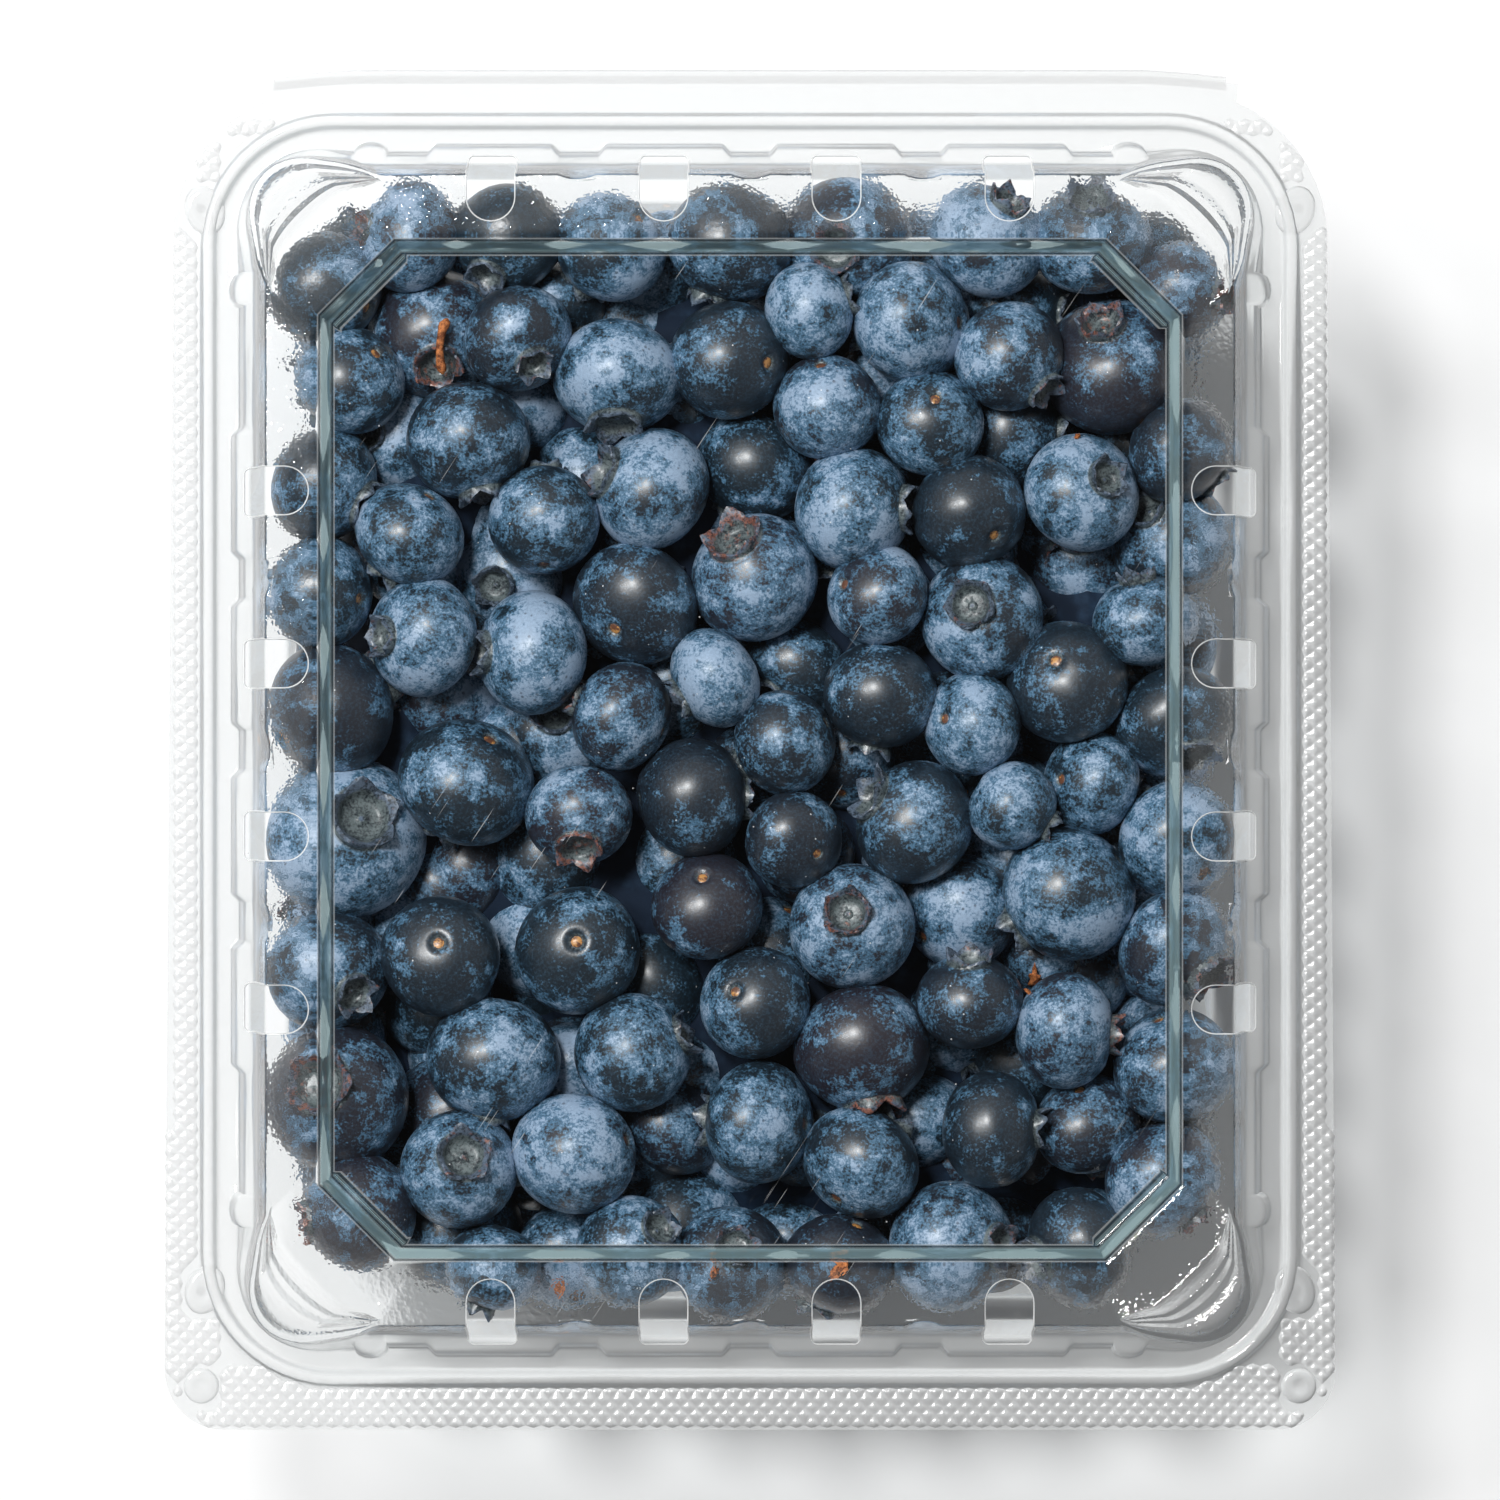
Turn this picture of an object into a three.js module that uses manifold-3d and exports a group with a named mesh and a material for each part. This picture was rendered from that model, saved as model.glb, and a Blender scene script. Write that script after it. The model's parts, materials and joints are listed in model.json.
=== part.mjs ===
// Punnet of blueberries: a clear folded pack, made from one sheet, and the fruit in it.
// Millimetres, +Z up, the table at z = 0, the lid's hinge at the back (+Y).
// Three sub-parts: the base (tub and flange), the lid (with the hinge's fold) and the heap of fruit.

import * as THREE from 'three';
import { mergeVertices } from 'three/addons/utils/BufferGeometryUtils.js';
import Module from 'manifold-3d';

const wasm = await Module();
wasm.setup();

// ---------------------------------------------------------------- driving dimensions

const SHEET = 0.5; // thickness of the formed sheet
const AIR = 0.3; // gap between pieces that lie on each other
const FLANGE_Z = 42; // top of the base's flange above the table
const LID_RISE = 14; // from the base's flange to the lid's shoulder
const PANEL_DROP = 2.6; // how far the lid's middle panel is sunk
const LUG_RISE = 1.6; // stacking lugs at the lid's corners, above the shoulder
const LUG = {
  x: 44.8,
  y: 53.8,
  radius: 6.4,
  innerReach: 4.4,
  spread: 1.17, // half its length, in radians
  step: 0.5, // how much wider its lower half is
  facets: 4,
};

const FLANGE = { halfX: 63.3, front: -73.4, back: 71.1, frontRadius: 6.5, backRadius: 16, taper: 1 };
const FOLD_Y = 73.4; // furthest reach of the hinge's fold
const FOLD_HALF_X = 46; // half the length of the fold
const FOLD_FACETS = 12;
const STRIP = { halfX: 51.5, out: 1.6, tuck: 4, taper: 6 }; // the hinge strip, by the flange's back edge

const VENT_PITCH = 18.4; // the vents, four to a side
const VENTS_PER_SIDE = 4;
const VENT_WIDTH = 5.3;
const LID_VENT = { inner: { x: 46.9, y: 56.2 }, outer: { x: 54.2, y: 63.7 }, low: 1 }; // low: above the flange
const TUB_VENT = { inner: { x: 43.4, y: 52.4 }, outer: { x: 48.9, y: 57.9 }, high: 6.5 };
const DRAIN = { x: 18, halfLength: 7 }; // oval drain holes through the foot, in two rows
const BAY_LENGTH = 14.4; // outward bays of the lid's wall, one at each vent
const BAY_DEPTH = 0.9;
const BUMP_WIDTH = 3.6; // small denesting bumps near the ends of each side
const BUMP_DEPTH = 1.1;
const BUMP_FROM_CENTRE = { x: 40.8, y: 49.5 }; // on the sides along X, and along Y
const OVAL_STUD = { x: 58.8, y: 58.2, halfX: 2.1, halfY: 2.7, turn: 0.35, rise: 1.2 }; // at the lid's corners
const ROUND_STUD = { x: 59.2, y: -68.6, radius: 1.9, rise: 0.9 }; // on the flange's front corners

const TUB_FLOOR_RISE = 1.6; // raised middle of the tub's floor
const FOOT_RISE = 1.4; // the foot's rounded edge
const FLOOR_RIM_Z = 8; // where the tub's wall starts
const LEDGE_Z = 33.6; // where it steps out below the rim
const BEAD_RISE = 1.7; // the lid's bead, which snaps over the tub's rim

const BERRY_RADIUS = { least: 5.2, spread: 2.9 }; // a berry is round to about a tenth of its size
const HEAP_CLEARANCE = 0.45; // from the fruit to the pack
const ROOM_CORNER = { front: 21, back: 12 }; // rounding of the heap at the corners
const CORNER_STEPS = 4; // facets of each rounded corner

// ---------------------------------------------------------------- heights that follow

const LID_Z = FLANGE_Z + AIR; // underside of the lid's flange
const LID_TOP_SKIN = LID_Z + SHEET;
const SHOULDER_Z = FLANGE_Z + LID_RISE;
const PANEL_Z = SHOULDER_Z - PANEL_DROP;
const FLOOR_Z = SHEET; // inner face of the foot

// ---------------------------------------------------------------- small helpers

/** A closed geometry as a solid that can be joined and cut. */
function solid(geometry) {
  const bare = new THREE.BufferGeometry();
  bare.setAttribute('position', geometry.getAttribute('position').clone());
  if (geometry.index) bare.setIndex(geometry.index.clone());
  const merged = mergeVertices(bare, 1e-4);
  const vertProperties = new Float32Array(merged.getAttribute('position').array);
  const triVerts = new Uint32Array(merged.index.array);
  return new wasm.Manifold(new wasm.Mesh({ numProp: 3, vertProperties, triVerts }));
}

/** A solid as a geometry with flat facets. */
function geometryOf(body) {
  const { vertProperties, triVerts } = body.getMesh();
  const geometry = new THREE.BufferGeometry();
  geometry.setAttribute('position', new THREE.BufferAttribute(vertProperties, 3));
  geometry.setIndex(new THREE.BufferAttribute(triVerts, 1));
  geometry.computeVertexNormals();
  return geometry;
}

/** One sub-part: a named mesh with its own material. */
function subPart(name, body, look) {
  const mesh = new THREE.Mesh(geometryOf(body), new THREE.MeshStandardMaterial(look));
  mesh.name = name;
  return mesh;
}

/** Places along a side, from its middle, where something is repeated at the vents' pitch. */
function ventPlaces() {
  const places = [];
  for (let i = 0; i < VENTS_PER_SIDE; i += 1) places.push((i - (VENTS_PER_SIDE - 1) / 2) * VENT_PITCH);
  return places;
}

// ---------------------------------------------------------------- outlines of the sheet

/**
 * The breaks of one straight side, from its middle: [place, outward shift].
 * Each vent has a bay with short slanted ends, and each end of the side has a denesting bump.
 * A side without them may still be broken at the vents' middles, to join one that has them.
 */
function sideBreaks(bumpPlace, { bay = 0, bump = 0, middles = false }) {
  if (middles) return ventPlaces().map((middle) => [middle, 0]);
  const breaks = [];
  const halfBay = BAY_LENGTH / 2;
  const flatBay = halfBay - Math.abs(bay);
  const halfBump = BUMP_WIDTH / 2;
  if (bay) {
    for (const middle of ventPlaces()) {
      breaks.push([middle - halfBay, 0], [middle - flatBay, bay]);
      breaks.push([middle + flatBay, bay], [middle + halfBay, 0]);
    }
  }
  if (bump) {
    for (const middle of [-bumpPlace, bumpPlace]) {
      breaks.push([middle - halfBump, 0], [middle - halfBump / 2, bump]);
      breaks.push([middle + halfBump / 2, bump], [middle + halfBump, 0]);
    }
  }
  return breaks.sort((a, b) => a[0] - b[0]);
}

/**
 * A closed outline of the pack seen from above, anticlockwise from the front side's middle.
 * Its four corners are rounded, or cut off straight. Each point also has its turn round the
 * outline, from 0 to 8: a side takes 1, and so does a corner.
 */
function outline(ring) {
  const { halfX, front, back, frontRadius, backRadius, cut = false, taper = 0 } = ring;
  const near = { x: halfX - frontRadius, y: front + frontRadius, radius: frontRadius };
  const far = { x: halfX - backRadius, y: back - backRadius, radius: backRadius };
  const bumps = BUMP_FROM_CENTRE;
  const quarters = [
    { side: [0, front], out: [0, -1], reach: near.x, bumpPlace: bumps.x, corner: near, mirror: 1 },
    { side: [halfX, 0], out: [1, 0], reach: far.y, bumpPlace: bumps.y, corner: far, mirror: 1 },
    { side: [0, back], out: [0, 1], reach: far.x, bumpPlace: bumps.x, corner: far, mirror: -1 },
    { side: [-halfX, 0], out: [-1, 0], reach: -near.y, bumpPlace: bumps.y, corner: near, mirror: -1 },
  ];
  const points = [];
  quarters.forEach(({ side, out, reach, bumpPlace, corner, mirror }, k) => {
    const along = [-out[1], out[0]];
    for (const [place, shift] of sideBreaks(bumpPlace, ring)) {
      const x = side[0] + along[0] * place + out[0] * shift;
      const y = side[1] + along[1] * place + out[1] * shift;
      points.push({ x, y, turn: 2 * k + (place / reach + 1) / 2 });
    }
    for (let i = 0; i <= CORNER_STEPS; i += 1) {
      const part = i / CORNER_STEPS;
      const a = cut ? 1 - part : Math.cos((part * Math.PI) / 2);
      const b = cut ? part : Math.sin((part * Math.PI) / 2);
      const x = corner.x * mirror + corner.radius * (out[0] * a + along[0] * b);
      const y = corner.y + corner.radius * (out[1] * a + along[1] * b);
      points.push({ x, y, turn: 2 * k + 1 + part });
    }
  });
  for (const point of points) point.x *= 1 - (taper * (point.y - front)) / (back - front) / halfX;
  return points;
}

/** The same outline moved outwards by `step` and up to `z`. */
function grown(ring, step, z) {
  return {
    ...ring,
    halfX: ring.halfX + step,
    front: ring.front - step,
    back: ring.back + step,
    frontRadius: Math.max(ring.frontRadius + step, 0.2),
    backRadius: Math.max(ring.backRadius + step, 0.2),
    z,
  };
}

/** An outline that is the same at the front and the back. */
function even(halfX, halfY, radius, z, more = {}) {
  return { halfX, front: -halfY, back: halfY, frontRadius: radius, backRadius: radius, z, ...more };
}

/**
 * The other skin of the sheet: each outline of `rings` moved to the sheet's far side,
 * square to the profile, so that slanted walls keep their thickness.
 */
function farSkin(rings) {
  return rings.map((ring, i) => {
    const before = rings[Math.max(i - 1, 0)];
    const after = rings[Math.min(i + 1, rings.length - 1)];
    const normals = [];
    for (const [a, b] of [[before, ring], [ring, after]]) {
      const run = b.halfX - a.halfX;
      const rise = b.z - a.z;
      const length = Math.hypot(run, rise);
      if (length > 0) normals.push([rise / length, -run / length]);
    }
    const [p, q] = [normals[0], normals[normals.length - 1]];
    const scale = SHEET / (1 + p[0] * q[0] + p[1] * q[1]);
    return grown(ring, (p[0] + q[0]) * scale, ring.z + (p[1] + q[1]) * scale);
  });
}

/** The wall between two closed outlines, which may have different numbers of points. */
function wallBetween(faces, lower, upper) {
  const alike = lower.points.length === upper.points.length;
  const turnOf = (ring, i) => {
    if (alike) return i;
    return ring.points[i % ring.points.length].turn + (i < ring.points.length ? 0 : 8);
  };
  let [i, j] = [0, 0];
  while (i < lower.points.length || j < upper.points.length) {
    const a = lower.start + (i % lower.points.length);
    const b = upper.start + (j % upper.points.length);
    const onLower = j === upper.points.length
      || (i < lower.points.length && turnOf(lower, i + 1) <= turnOf(upper, j + 1));
    if (onLower) {
      i += 1;
      faces.push(a, b, lower.start + (i % lower.points.length));
    } else {
      j += 1;
      faces.push(a, b, upper.start + (j % upper.points.length));
    }
  }
}

/** The formed sheet between two skins, closed at the outer edge, with a flat middle. */
function formedSheet(topRings, bottomRings) {
  const positions = [];
  const faces = [];
  const rings = [...topRings, ...bottomRings.toReversed()].map((ring) => {
    const start = positions.length / 3;
    const points = outline(ring);
    for (const { x, y } of points) positions.push(x, y, ring.z);
    return { start, points };
  });
  for (let r = 0; r + 1 < rings.length; r += 1) wallBetween(faces, rings[r], rings[r + 1]);
  const middles = [
    { ring: rings[0], z: topRings[0].z, up: true },
    { ring: rings[rings.length - 1], z: bottomRings[0].z, up: false },
  ];
  for (const { ring, z, up } of middles) {
    const centre = positions.length / 3;
    positions.push(0, 0, z);
    const count = ring.points.length;
    for (let i = 0; i < count; i += 1) {
      const [a, b] = [ring.start + i, ring.start + ((i + 1) % count)];
      faces.push(centre, up ? a : b, up ? b : a);
    }
  }
  const geometry = new THREE.BufferGeometry();
  geometry.setAttribute('position', new THREE.Float32BufferAttribute(positions, 3));
  geometry.setIndex(faces);
  return solid(geometry);
}

/** A flat outline pushed up from one height to another. */
function plate(shape, from, to, curveSegments = 6) {
  const geometry = new THREE.ExtrudeGeometry(shape, { depth: to - from, bevelEnabled: false, curveSegments });
  return solid(geometry.translate(0, 0, from));
}

/** A vent's outline: a half-round inner end and a flat outer end, pointing along +X. */
function ventShape(inner, outer) {
  const half = VENT_WIDTH / 2;
  const shape = new THREE.Shape();
  shape.moveTo(outer, -half);
  shape.lineTo(outer, half);
  shape.lineTo(inner + half, half);
  shape.absarc(inner + half, 0, half, Math.PI / 2, (3 * Math.PI) / 2, false);
  return shape;
}

/** The sixteen vents of one level, as cutters between two heights. */
function vents({ inner, outer }, from, to) {
  const extrusion = { depth: to - from, bevelEnabled: false, curveSegments: 3 };
  const cutters = [];
  for (const [axis, turns] of [['x', [0, Math.PI]], ['y', [Math.PI / 2, -Math.PI / 2]]]) {
    for (const turn of turns) {
      for (const place of ventPlaces()) {
        const geometry = new THREE.ExtrudeGeometry(ventShape(inner[axis], outer[axis]), extrusion);
        cutters.push(solid(geometry.translate(0, place, from).rotateZ(turn)));
      }
    }
  }
  return cutters;
}

/** An upright round or oval block over the origin. */
function boss(halfX, halfY, turn, from, to) {
  const shape = new THREE.Shape();
  shape.absellipse(0, 0, halfX, halfY, 0, 2 * Math.PI, false, 0);
  return plate(shape, from, to, 4).rotate([0, 0, (turn * 180) / Math.PI]);
}

/** The hinge strip behind the flange, narrower towards the fold. */
function hingeStrip(backEdge, from, to) {
  const root = STRIP.halfX - STRIP.taper;
  const shape = new THREE.Shape();
  shape.moveTo(-root, FLANGE.back - STRIP.tuck);
  shape.lineTo(root, FLANGE.back - STRIP.tuck);
  shape.lineTo(STRIP.halfX, FLANGE.back - STRIP.out);
  shape.lineTo(FOLD_HALF_X, backEdge);
  shape.lineTo(-FOLD_HALF_X, backEdge);
  shape.lineTo(-STRIP.halfX, FLANGE.back - STRIP.out);
  return plate(shape, from, to);
}

// ---------------------------------------------------------------- lid

// Half width, half length, corner radius and height of each bend, from the middle panel outwards.
const LID_RINGS = [
  even(44.4, 52.8, 7.4, PANEL_Z, { cut: true }),
  even(45.8, 54.2, 8, SHOULDER_Z, { cut: true }),
  even(51.1, 60.8, 5.8, SHOULDER_Z),
  even(51.8, 61.5, 6.5, SHOULDER_Z - 0.7),
  even(53.0, 62.6, 8, LID_TOP_SKIN + 5.6, { middles: true }),
  even(54.4, 63.9, 9.2, LID_TOP_SKIN + 5, { bay: BAY_DEPTH, bump: BUMP_DEPTH }),
  even(55.0, 64.4, 9.8, LID_TOP_SKIN, { bay: BAY_DEPTH, bump: BUMP_DEPTH }),
  even(57.5, 66.9, 12.6, LID_TOP_SKIN, { middles: true }),
  even(57.9, 67.3, 13, LID_TOP_SKIN + BEAD_RISE),
  even(58.9, 68.3, 14, LID_TOP_SKIN + BEAD_RISE),
  even(59.3, 68.7, 14.4, LID_TOP_SKIN),
  { ...FLANGE, z: LID_TOP_SKIN },
];

/** A crescent round a corner: an outer arc, closed by a flatter curve on its inner side. */
function crescent(radius, innerReach) {
  const middle = Math.PI / 4;
  const start = [Math.cos(middle - LUG.spread) * radius, Math.sin(middle - LUG.spread) * radius];
  const bow = (2 * innerReach - radius * Math.cos(LUG.spread)) * Math.SQRT1_2;
  const shape = new THREE.Shape();
  shape.absarc(0, 0, radius, middle - LUG.spread, middle + LUG.spread, false);
  shape.quadraticCurveTo(bow, bow, start[0], start[1]);
  return shape;
}

/** A stacking lug in two steps: a wide low crescent with a narrow one on top. */
function cornerLug(signX, signY) {
  const wide = crescent(LUG.radius + LUG.step, LUG.innerReach - 3 * LUG.step);
  const narrow = crescent(LUG.radius, LUG.innerReach);
  const root = SHOULDER_Z - SHEET / 2;
  const low = plate(wide, root, SHOULDER_Z + LUG_RISE / 2, LUG.facets);
  const high = plate(narrow, root, SHOULDER_Z + LUG_RISE, LUG.facets);
  return low.add(high).translate([LUG.x, LUG.y, 0]).scale([signX, signY, 1]);
}

/** An oval stud on the bead, turned to follow the corner. */
function ovalStud(signX, signY) {
  const { x, y, halfX, halfY, turn, rise } = OVAL_STUD;
  const stud = boss(halfX, halfY, -signX * signY * turn, LID_Z, LID_TOP_SKIN + rise);
  return stud.translate([signX * x, signY * y, 0]);
}

/** A round stud on a front corner of the flange. */
function roundStud(signX) {
  const { x, y, radius, rise } = ROUND_STUD;
  return boss(radius, radius, 0, LID_Z, LID_TOP_SKIN + rise).translate([signX * x, y, 0]);
}

function makeLid() {
  const near = farSkin(LID_RINGS);
  near[near.length - 1] = { ...FLANGE, z: LID_Z };
  let lid = formedSheet(LID_RINGS, near);
  lid = lid.add(hingeStrip(FOLD_Y - SHEET - AIR / 2, LID_Z, LID_TOP_SKIN));
  const foldRadius = SHEET + AIR / 2;
  const fold = new THREE.CylinderGeometry(foldRadius, foldRadius, 2 * FOLD_HALF_X, FOLD_FACETS);
  fold.rotateZ(Math.PI / 2).translate(0, FOLD_Y - foldRadius, FLANGE_Z + AIR / 2);
  lid = lid.add(solid(fold));
  for (const signX of [-1, 1]) {
    for (const signY of [-1, 1]) {
      lid = lid.add(cornerLug(signX, signY)).add(ovalStud(signX, signY));
    }
    lid = lid.add(roundStud(signX));
  }
  const cutters = vents(LID_VENT, LID_TOP_SKIN + LID_VENT.low, SHOULDER_Z + AIR);
  for (const cutter of cutters) lid = lid.subtract(cutter);
  return lid;
}

// ---------------------------------------------------------------- base

// Half width, half length, corner radius and height of each bend, from the raised floor outwards.
const TUB_RINGS = [
  even(38, 46.5, 9, FLOOR_Z + TUB_FLOOR_RISE),
  even(39.2, 47.7, 9.6, FLOOR_Z),
  even(47.4, 56.4, 11, FLOOR_Z),
  even(48.6, 57.6, 12, FLOOR_Z + FOOT_RISE),
  even(49.2, 58.3, 12, FLOOR_RIM_Z, { middles: true }),
  even(49.5, 58.6, 12, FLOOR_RIM_Z + 1, { bay: -BAY_DEPTH }),
  even(51.3, 60.6, 11.6, LEDGE_Z - 1.6, { bay: -BAY_DEPTH }),
  even(51.5, 60.8, 11.4, LEDGE_Z - 0.6, { middles: true }),
  even(52.9, 62.2, 11, LEDGE_Z),
  even(54.0, 63.3, 10.6, FLANGE_Z - 0.8),
  even(54.9, 64.2, 11, FLANGE_Z),
  { ...FLANGE, z: FLANGE_Z },
];

function makeBase() {
  const under = farSkin(TUB_RINGS);
  under[under.length - 1] = { ...FLANGE, z: FLANGE_Z - SHEET };
  let base = formedSheet(TUB_RINGS, under);
  const foldClear = FOLD_Y - 2 * (SHEET + AIR / 2) - AIR;
  base = base.add(hingeStrip(foldClear, FLANGE_Z - SHEET, FLANGE_Z));
  for (const cutter of vents(TUB_VENT, -SHEET, TUB_VENT.high)) base = base.subtract(cutter);
  const drain = boss(DRAIN.halfLength, VENT_WIDTH / 2, 0, FLOOR_Z, FLOOR_Z + 2 * TUB_FLOOR_RISE);
  for (const signX of [-1, 1]) {
    for (const place of ventPlaces()) base = base.subtract(drain.translate([signX * DRAIN.x, place, 0]));
  }
  return base;
}

// ---------------------------------------------------------------- fruit

/** Evenly spread numbers from 0 to 1, the same on every run. */
function seededDraws(seed) {
  let state = seed;
  return () => {
    state = (state * 16807) % 2147483647;
    return state / 2147483647;
  };
}

/**
 * The berries that lie uppermost and are told apart at a glance: [x, y, diameter].
 * The rest of the fruit is spread round them by rule.
 */
const LEADING_BERRIES = [
  [-44, -12, 17.3], [-21.6, 10.8, 13], [-0.4, 19.4, 13.9], [10.1, 26, 13.4], [22.1, 27.4, 12.3],
  [25.2, 14.7, 13], [36.1, 27.1, 12.8], [-11.2, 27.6, 12.8], [-30.5, 33.9, 13.4], [-22.5, 24.9, 11.8],
  [-11.7, 16.3, 13.4], [-31.6, -3.5, 15], [-18.7, -7.3, 11.2], [-6.3, -4.6, 12.6], [14.6, 6.7, 12.3],
  [-2.9, 6.7, 10.7], [4.9, -8.4, 10.7], [18.4, -8.4, 13.4], [10.9, -18.6, 13.4], [-18.2, -21.8, 13.4],
  [-33.4, -22.4, 12.8], [-4.7, -16.4, 11.8], [0.6, -26.7, 11.8], [28.6, -4.6, 9.6], [36.7, -14.3, 14.4],
  [23.2, -27.2, 11.8], [34, -31, 12.3], [13.5, -33.1, 14.4], [-26.8, -34.7, 13.9], [-13.1, -33.6, 12.8],
  [1.7, -40.6, 13.4], [27.3, -40.6, 12.3], [-31.1, -47.1, 12.8], [19.1, -52.5, 13.9], [-12.8, -53, 11.8],
  [35, 5.6, 12.8], [42, 14.7, 11.2], [9.6, 47, 10.2], [-2, 40.5, 12.8], [30.2, 41.6, 11.8],
  [19.8, 36.8, 11.8], [27, 55, 12.8], [-17.1, 53.4, 12.3], [-37.5, 54, 11.8], [45.5, 48.6, 10.7],
  [-40.7, 22.8, 11.8], [-35.4, 12.6, 12.3], [-42.9, 40.5, 11.8], [-45, -48.8, 12.7], [45, -45.6, 12.4],
  [36.5, -52.5, 12.8], [-28.6, -55.6, 10.6],
];

const HEAP_FLOOR = FLOOR_Z + TUB_FLOOR_RISE + HEAP_CLEARANCE;
const HEAP_CEILING = PANEL_Z - SHEET - HEAP_CLEARANCE;
const EDGE_FALL = 4.5; // how much lower the heap is at its edges
const EDGE_WIDTH = 16;
const ROOM = { halfX: 48.2, halfY: 57.3 }; // at the tub's floor
const WIDENING = { wall: 2, ledge: 2.8, lid: -2.4 }; // how far each part of the wall leans out
const REACH = { x: 53, y: 62 }; // berries are dropped within this far of the middle
const UNDER = 10; // depth of the second layer below the first
const WALL_ROWS = [16, 27, 37]; // heights of the berries along the walls
const ROW_SPREAD = 5;
const TRIES = { top: 4000, under: 2000, floor: 1500, wall: 700 };
const CROWDING = 0.8; // berries of a layer are tried no closer than this share of touching
const OVERLAP = 0.97; // soft fruit presses a little into its neighbours
const ROUNDS = 70;
const DRIFT = 0.35; // how far a layer is drawn to its side of the pack in a round
const WALL_DRIFT = DRIFT / 60; // the same for the berries along the walls, as a share
const HOMING = 0.3; // how strongly a leading berry is drawn back to its place
const PEEK = 2.5; // a lower berry counts from this far above the core
const SEED = 90210;

/** How far z is from one height to another, from 0 to 1. */
function share(z, low, high) {
  return Math.min(Math.max((z - low) / (high - low), 0), 1);
}

/** Half the room inside the pack at height z: it widens to the rim, and narrows again in the lid. */
function room(z) {
  const slope = WIDENING.wall * share(z, FLOOR_RIM_Z, LEDGE_Z) + WIDENING.ledge * share(z, LEDGE_Z, FLANGE_Z);
  const widening = slope + WIDENING.lid * share(z, FLANGE_Z, SHOULDER_Z);
  return { x: ROOM.halfX + widening - HEAP_CLEARANCE, y: ROOM.halfY + widening - HEAP_CLEARANCE };
}

/** The heap's upper surface: level in the middle and lower towards the sides. */
function heapTop(x, y) {
  const space = room(FLANGE_Z);
  const edge = Math.min(space.x - Math.abs(x), space.y - Math.abs(y));
  const fall = Math.min(Math.max(1 - edge / EDGE_WIDTH, 0), 1);
  return HEAP_CEILING - EDGE_FALL * fall * fall;
}

/** Keeps a berry inside the pack and below the heap's surface. */
function confine(berry) {
  const space = room(berry.z);
  const reachX = space.x - berry.radius;
  const reachY = space.y - berry.radius;
  berry.x = Math.min(Math.max(berry.x, -reachX), reachX);
  berry.y = Math.min(Math.max(berry.y, -reachY), reachY);
  const corner = berry.y < 0 ? ROOM_CORNER.front : ROOM_CORNER.back;
  const cornerX = Math.abs(berry.x) - (space.x - corner);
  const cornerY = Math.abs(berry.y) - (space.y - corner);
  const allowed = corner - berry.radius;
  const distance = Math.sqrt(cornerX * cornerX + cornerY * cornerY);
  if (cornerX > 0 && cornerY > 0 && distance > allowed) {
    const pull = (distance - allowed) / distance;
    berry.x -= Math.sign(berry.x) * cornerX * pull;
    berry.y -= Math.sign(berry.y) * cornerY * pull;
  }
  berry.z = Math.max(Math.min(berry.z, heapTop(berry.x, berry.y) - berry.radius), HEAP_FLOOR + berry.radius);
}

/** Adds berries of drawn sizes wherever they don't crowd the ones of their own layer. */
function scatter(berries, layer, tries, draw, placeOf) {
  for (let i = 0; i < tries; i += 1) {
    const radius = BERRY_RADIUS.least + (BERRY_RADIUS.spread * (draw() + draw())) / 2;
    const berry = { ...placeOf(radius), radius, layer, fixed: false };
    confine(berry);
    const crowded = berries.some((other) => {
      if (other.layer !== layer) return false;
      const [dx, dy, dz] = [berry.x - other.x, berry.y - other.y, berry.z - other.z];
      const near = (radius + other.radius) * CROWDING;
      return dx * dx + dy * dy + dz * dz < near * near;
    });
    if (!crowded) berries.push(berry);
  }
}

/** Draws each layer to its side of the pack, and the leading berries to their places. */
function drift(berry) {
  if (berry.layer === 'top') berry.z += DRIFT;
  if (berry.layer === 'under') berry.z += DRIFT / 2;
  if (berry.layer === 'floor') berry.z -= DRIFT;
  if (berry.layer === 'wall') {
    berry.x *= 1 + WALL_DRIFT;
    berry.y *= 1 + WALL_DRIFT;
  }
  if (berry.fixed) {
    berry.x += (berry.home[0] - berry.x) * HOMING;
    berry.y += (berry.home[1] - berry.y) * HOMING;
  }
}

/** Moves two berries apart, each half of the way, if they press too far into each other. */
function part(a, b) {
  const [dx, dy, dz] = [b.x - a.x, b.y - a.y, b.z - a.z];
  const near = (a.radius + b.radius) * OVERLAP;
  const square = dx * dx + dy * dy + dz * dz;
  if (square >= near * near || square === 0) return;
  const distance = Math.sqrt(square);
  const push = (0.5 * (near - distance)) / distance;
  a.x -= dx * push;
  a.y -= dy * push;
  a.z -= dz * push;
  b.x += dx * push;
  b.y += dy * push;
  b.z += dz * push;
}

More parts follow.
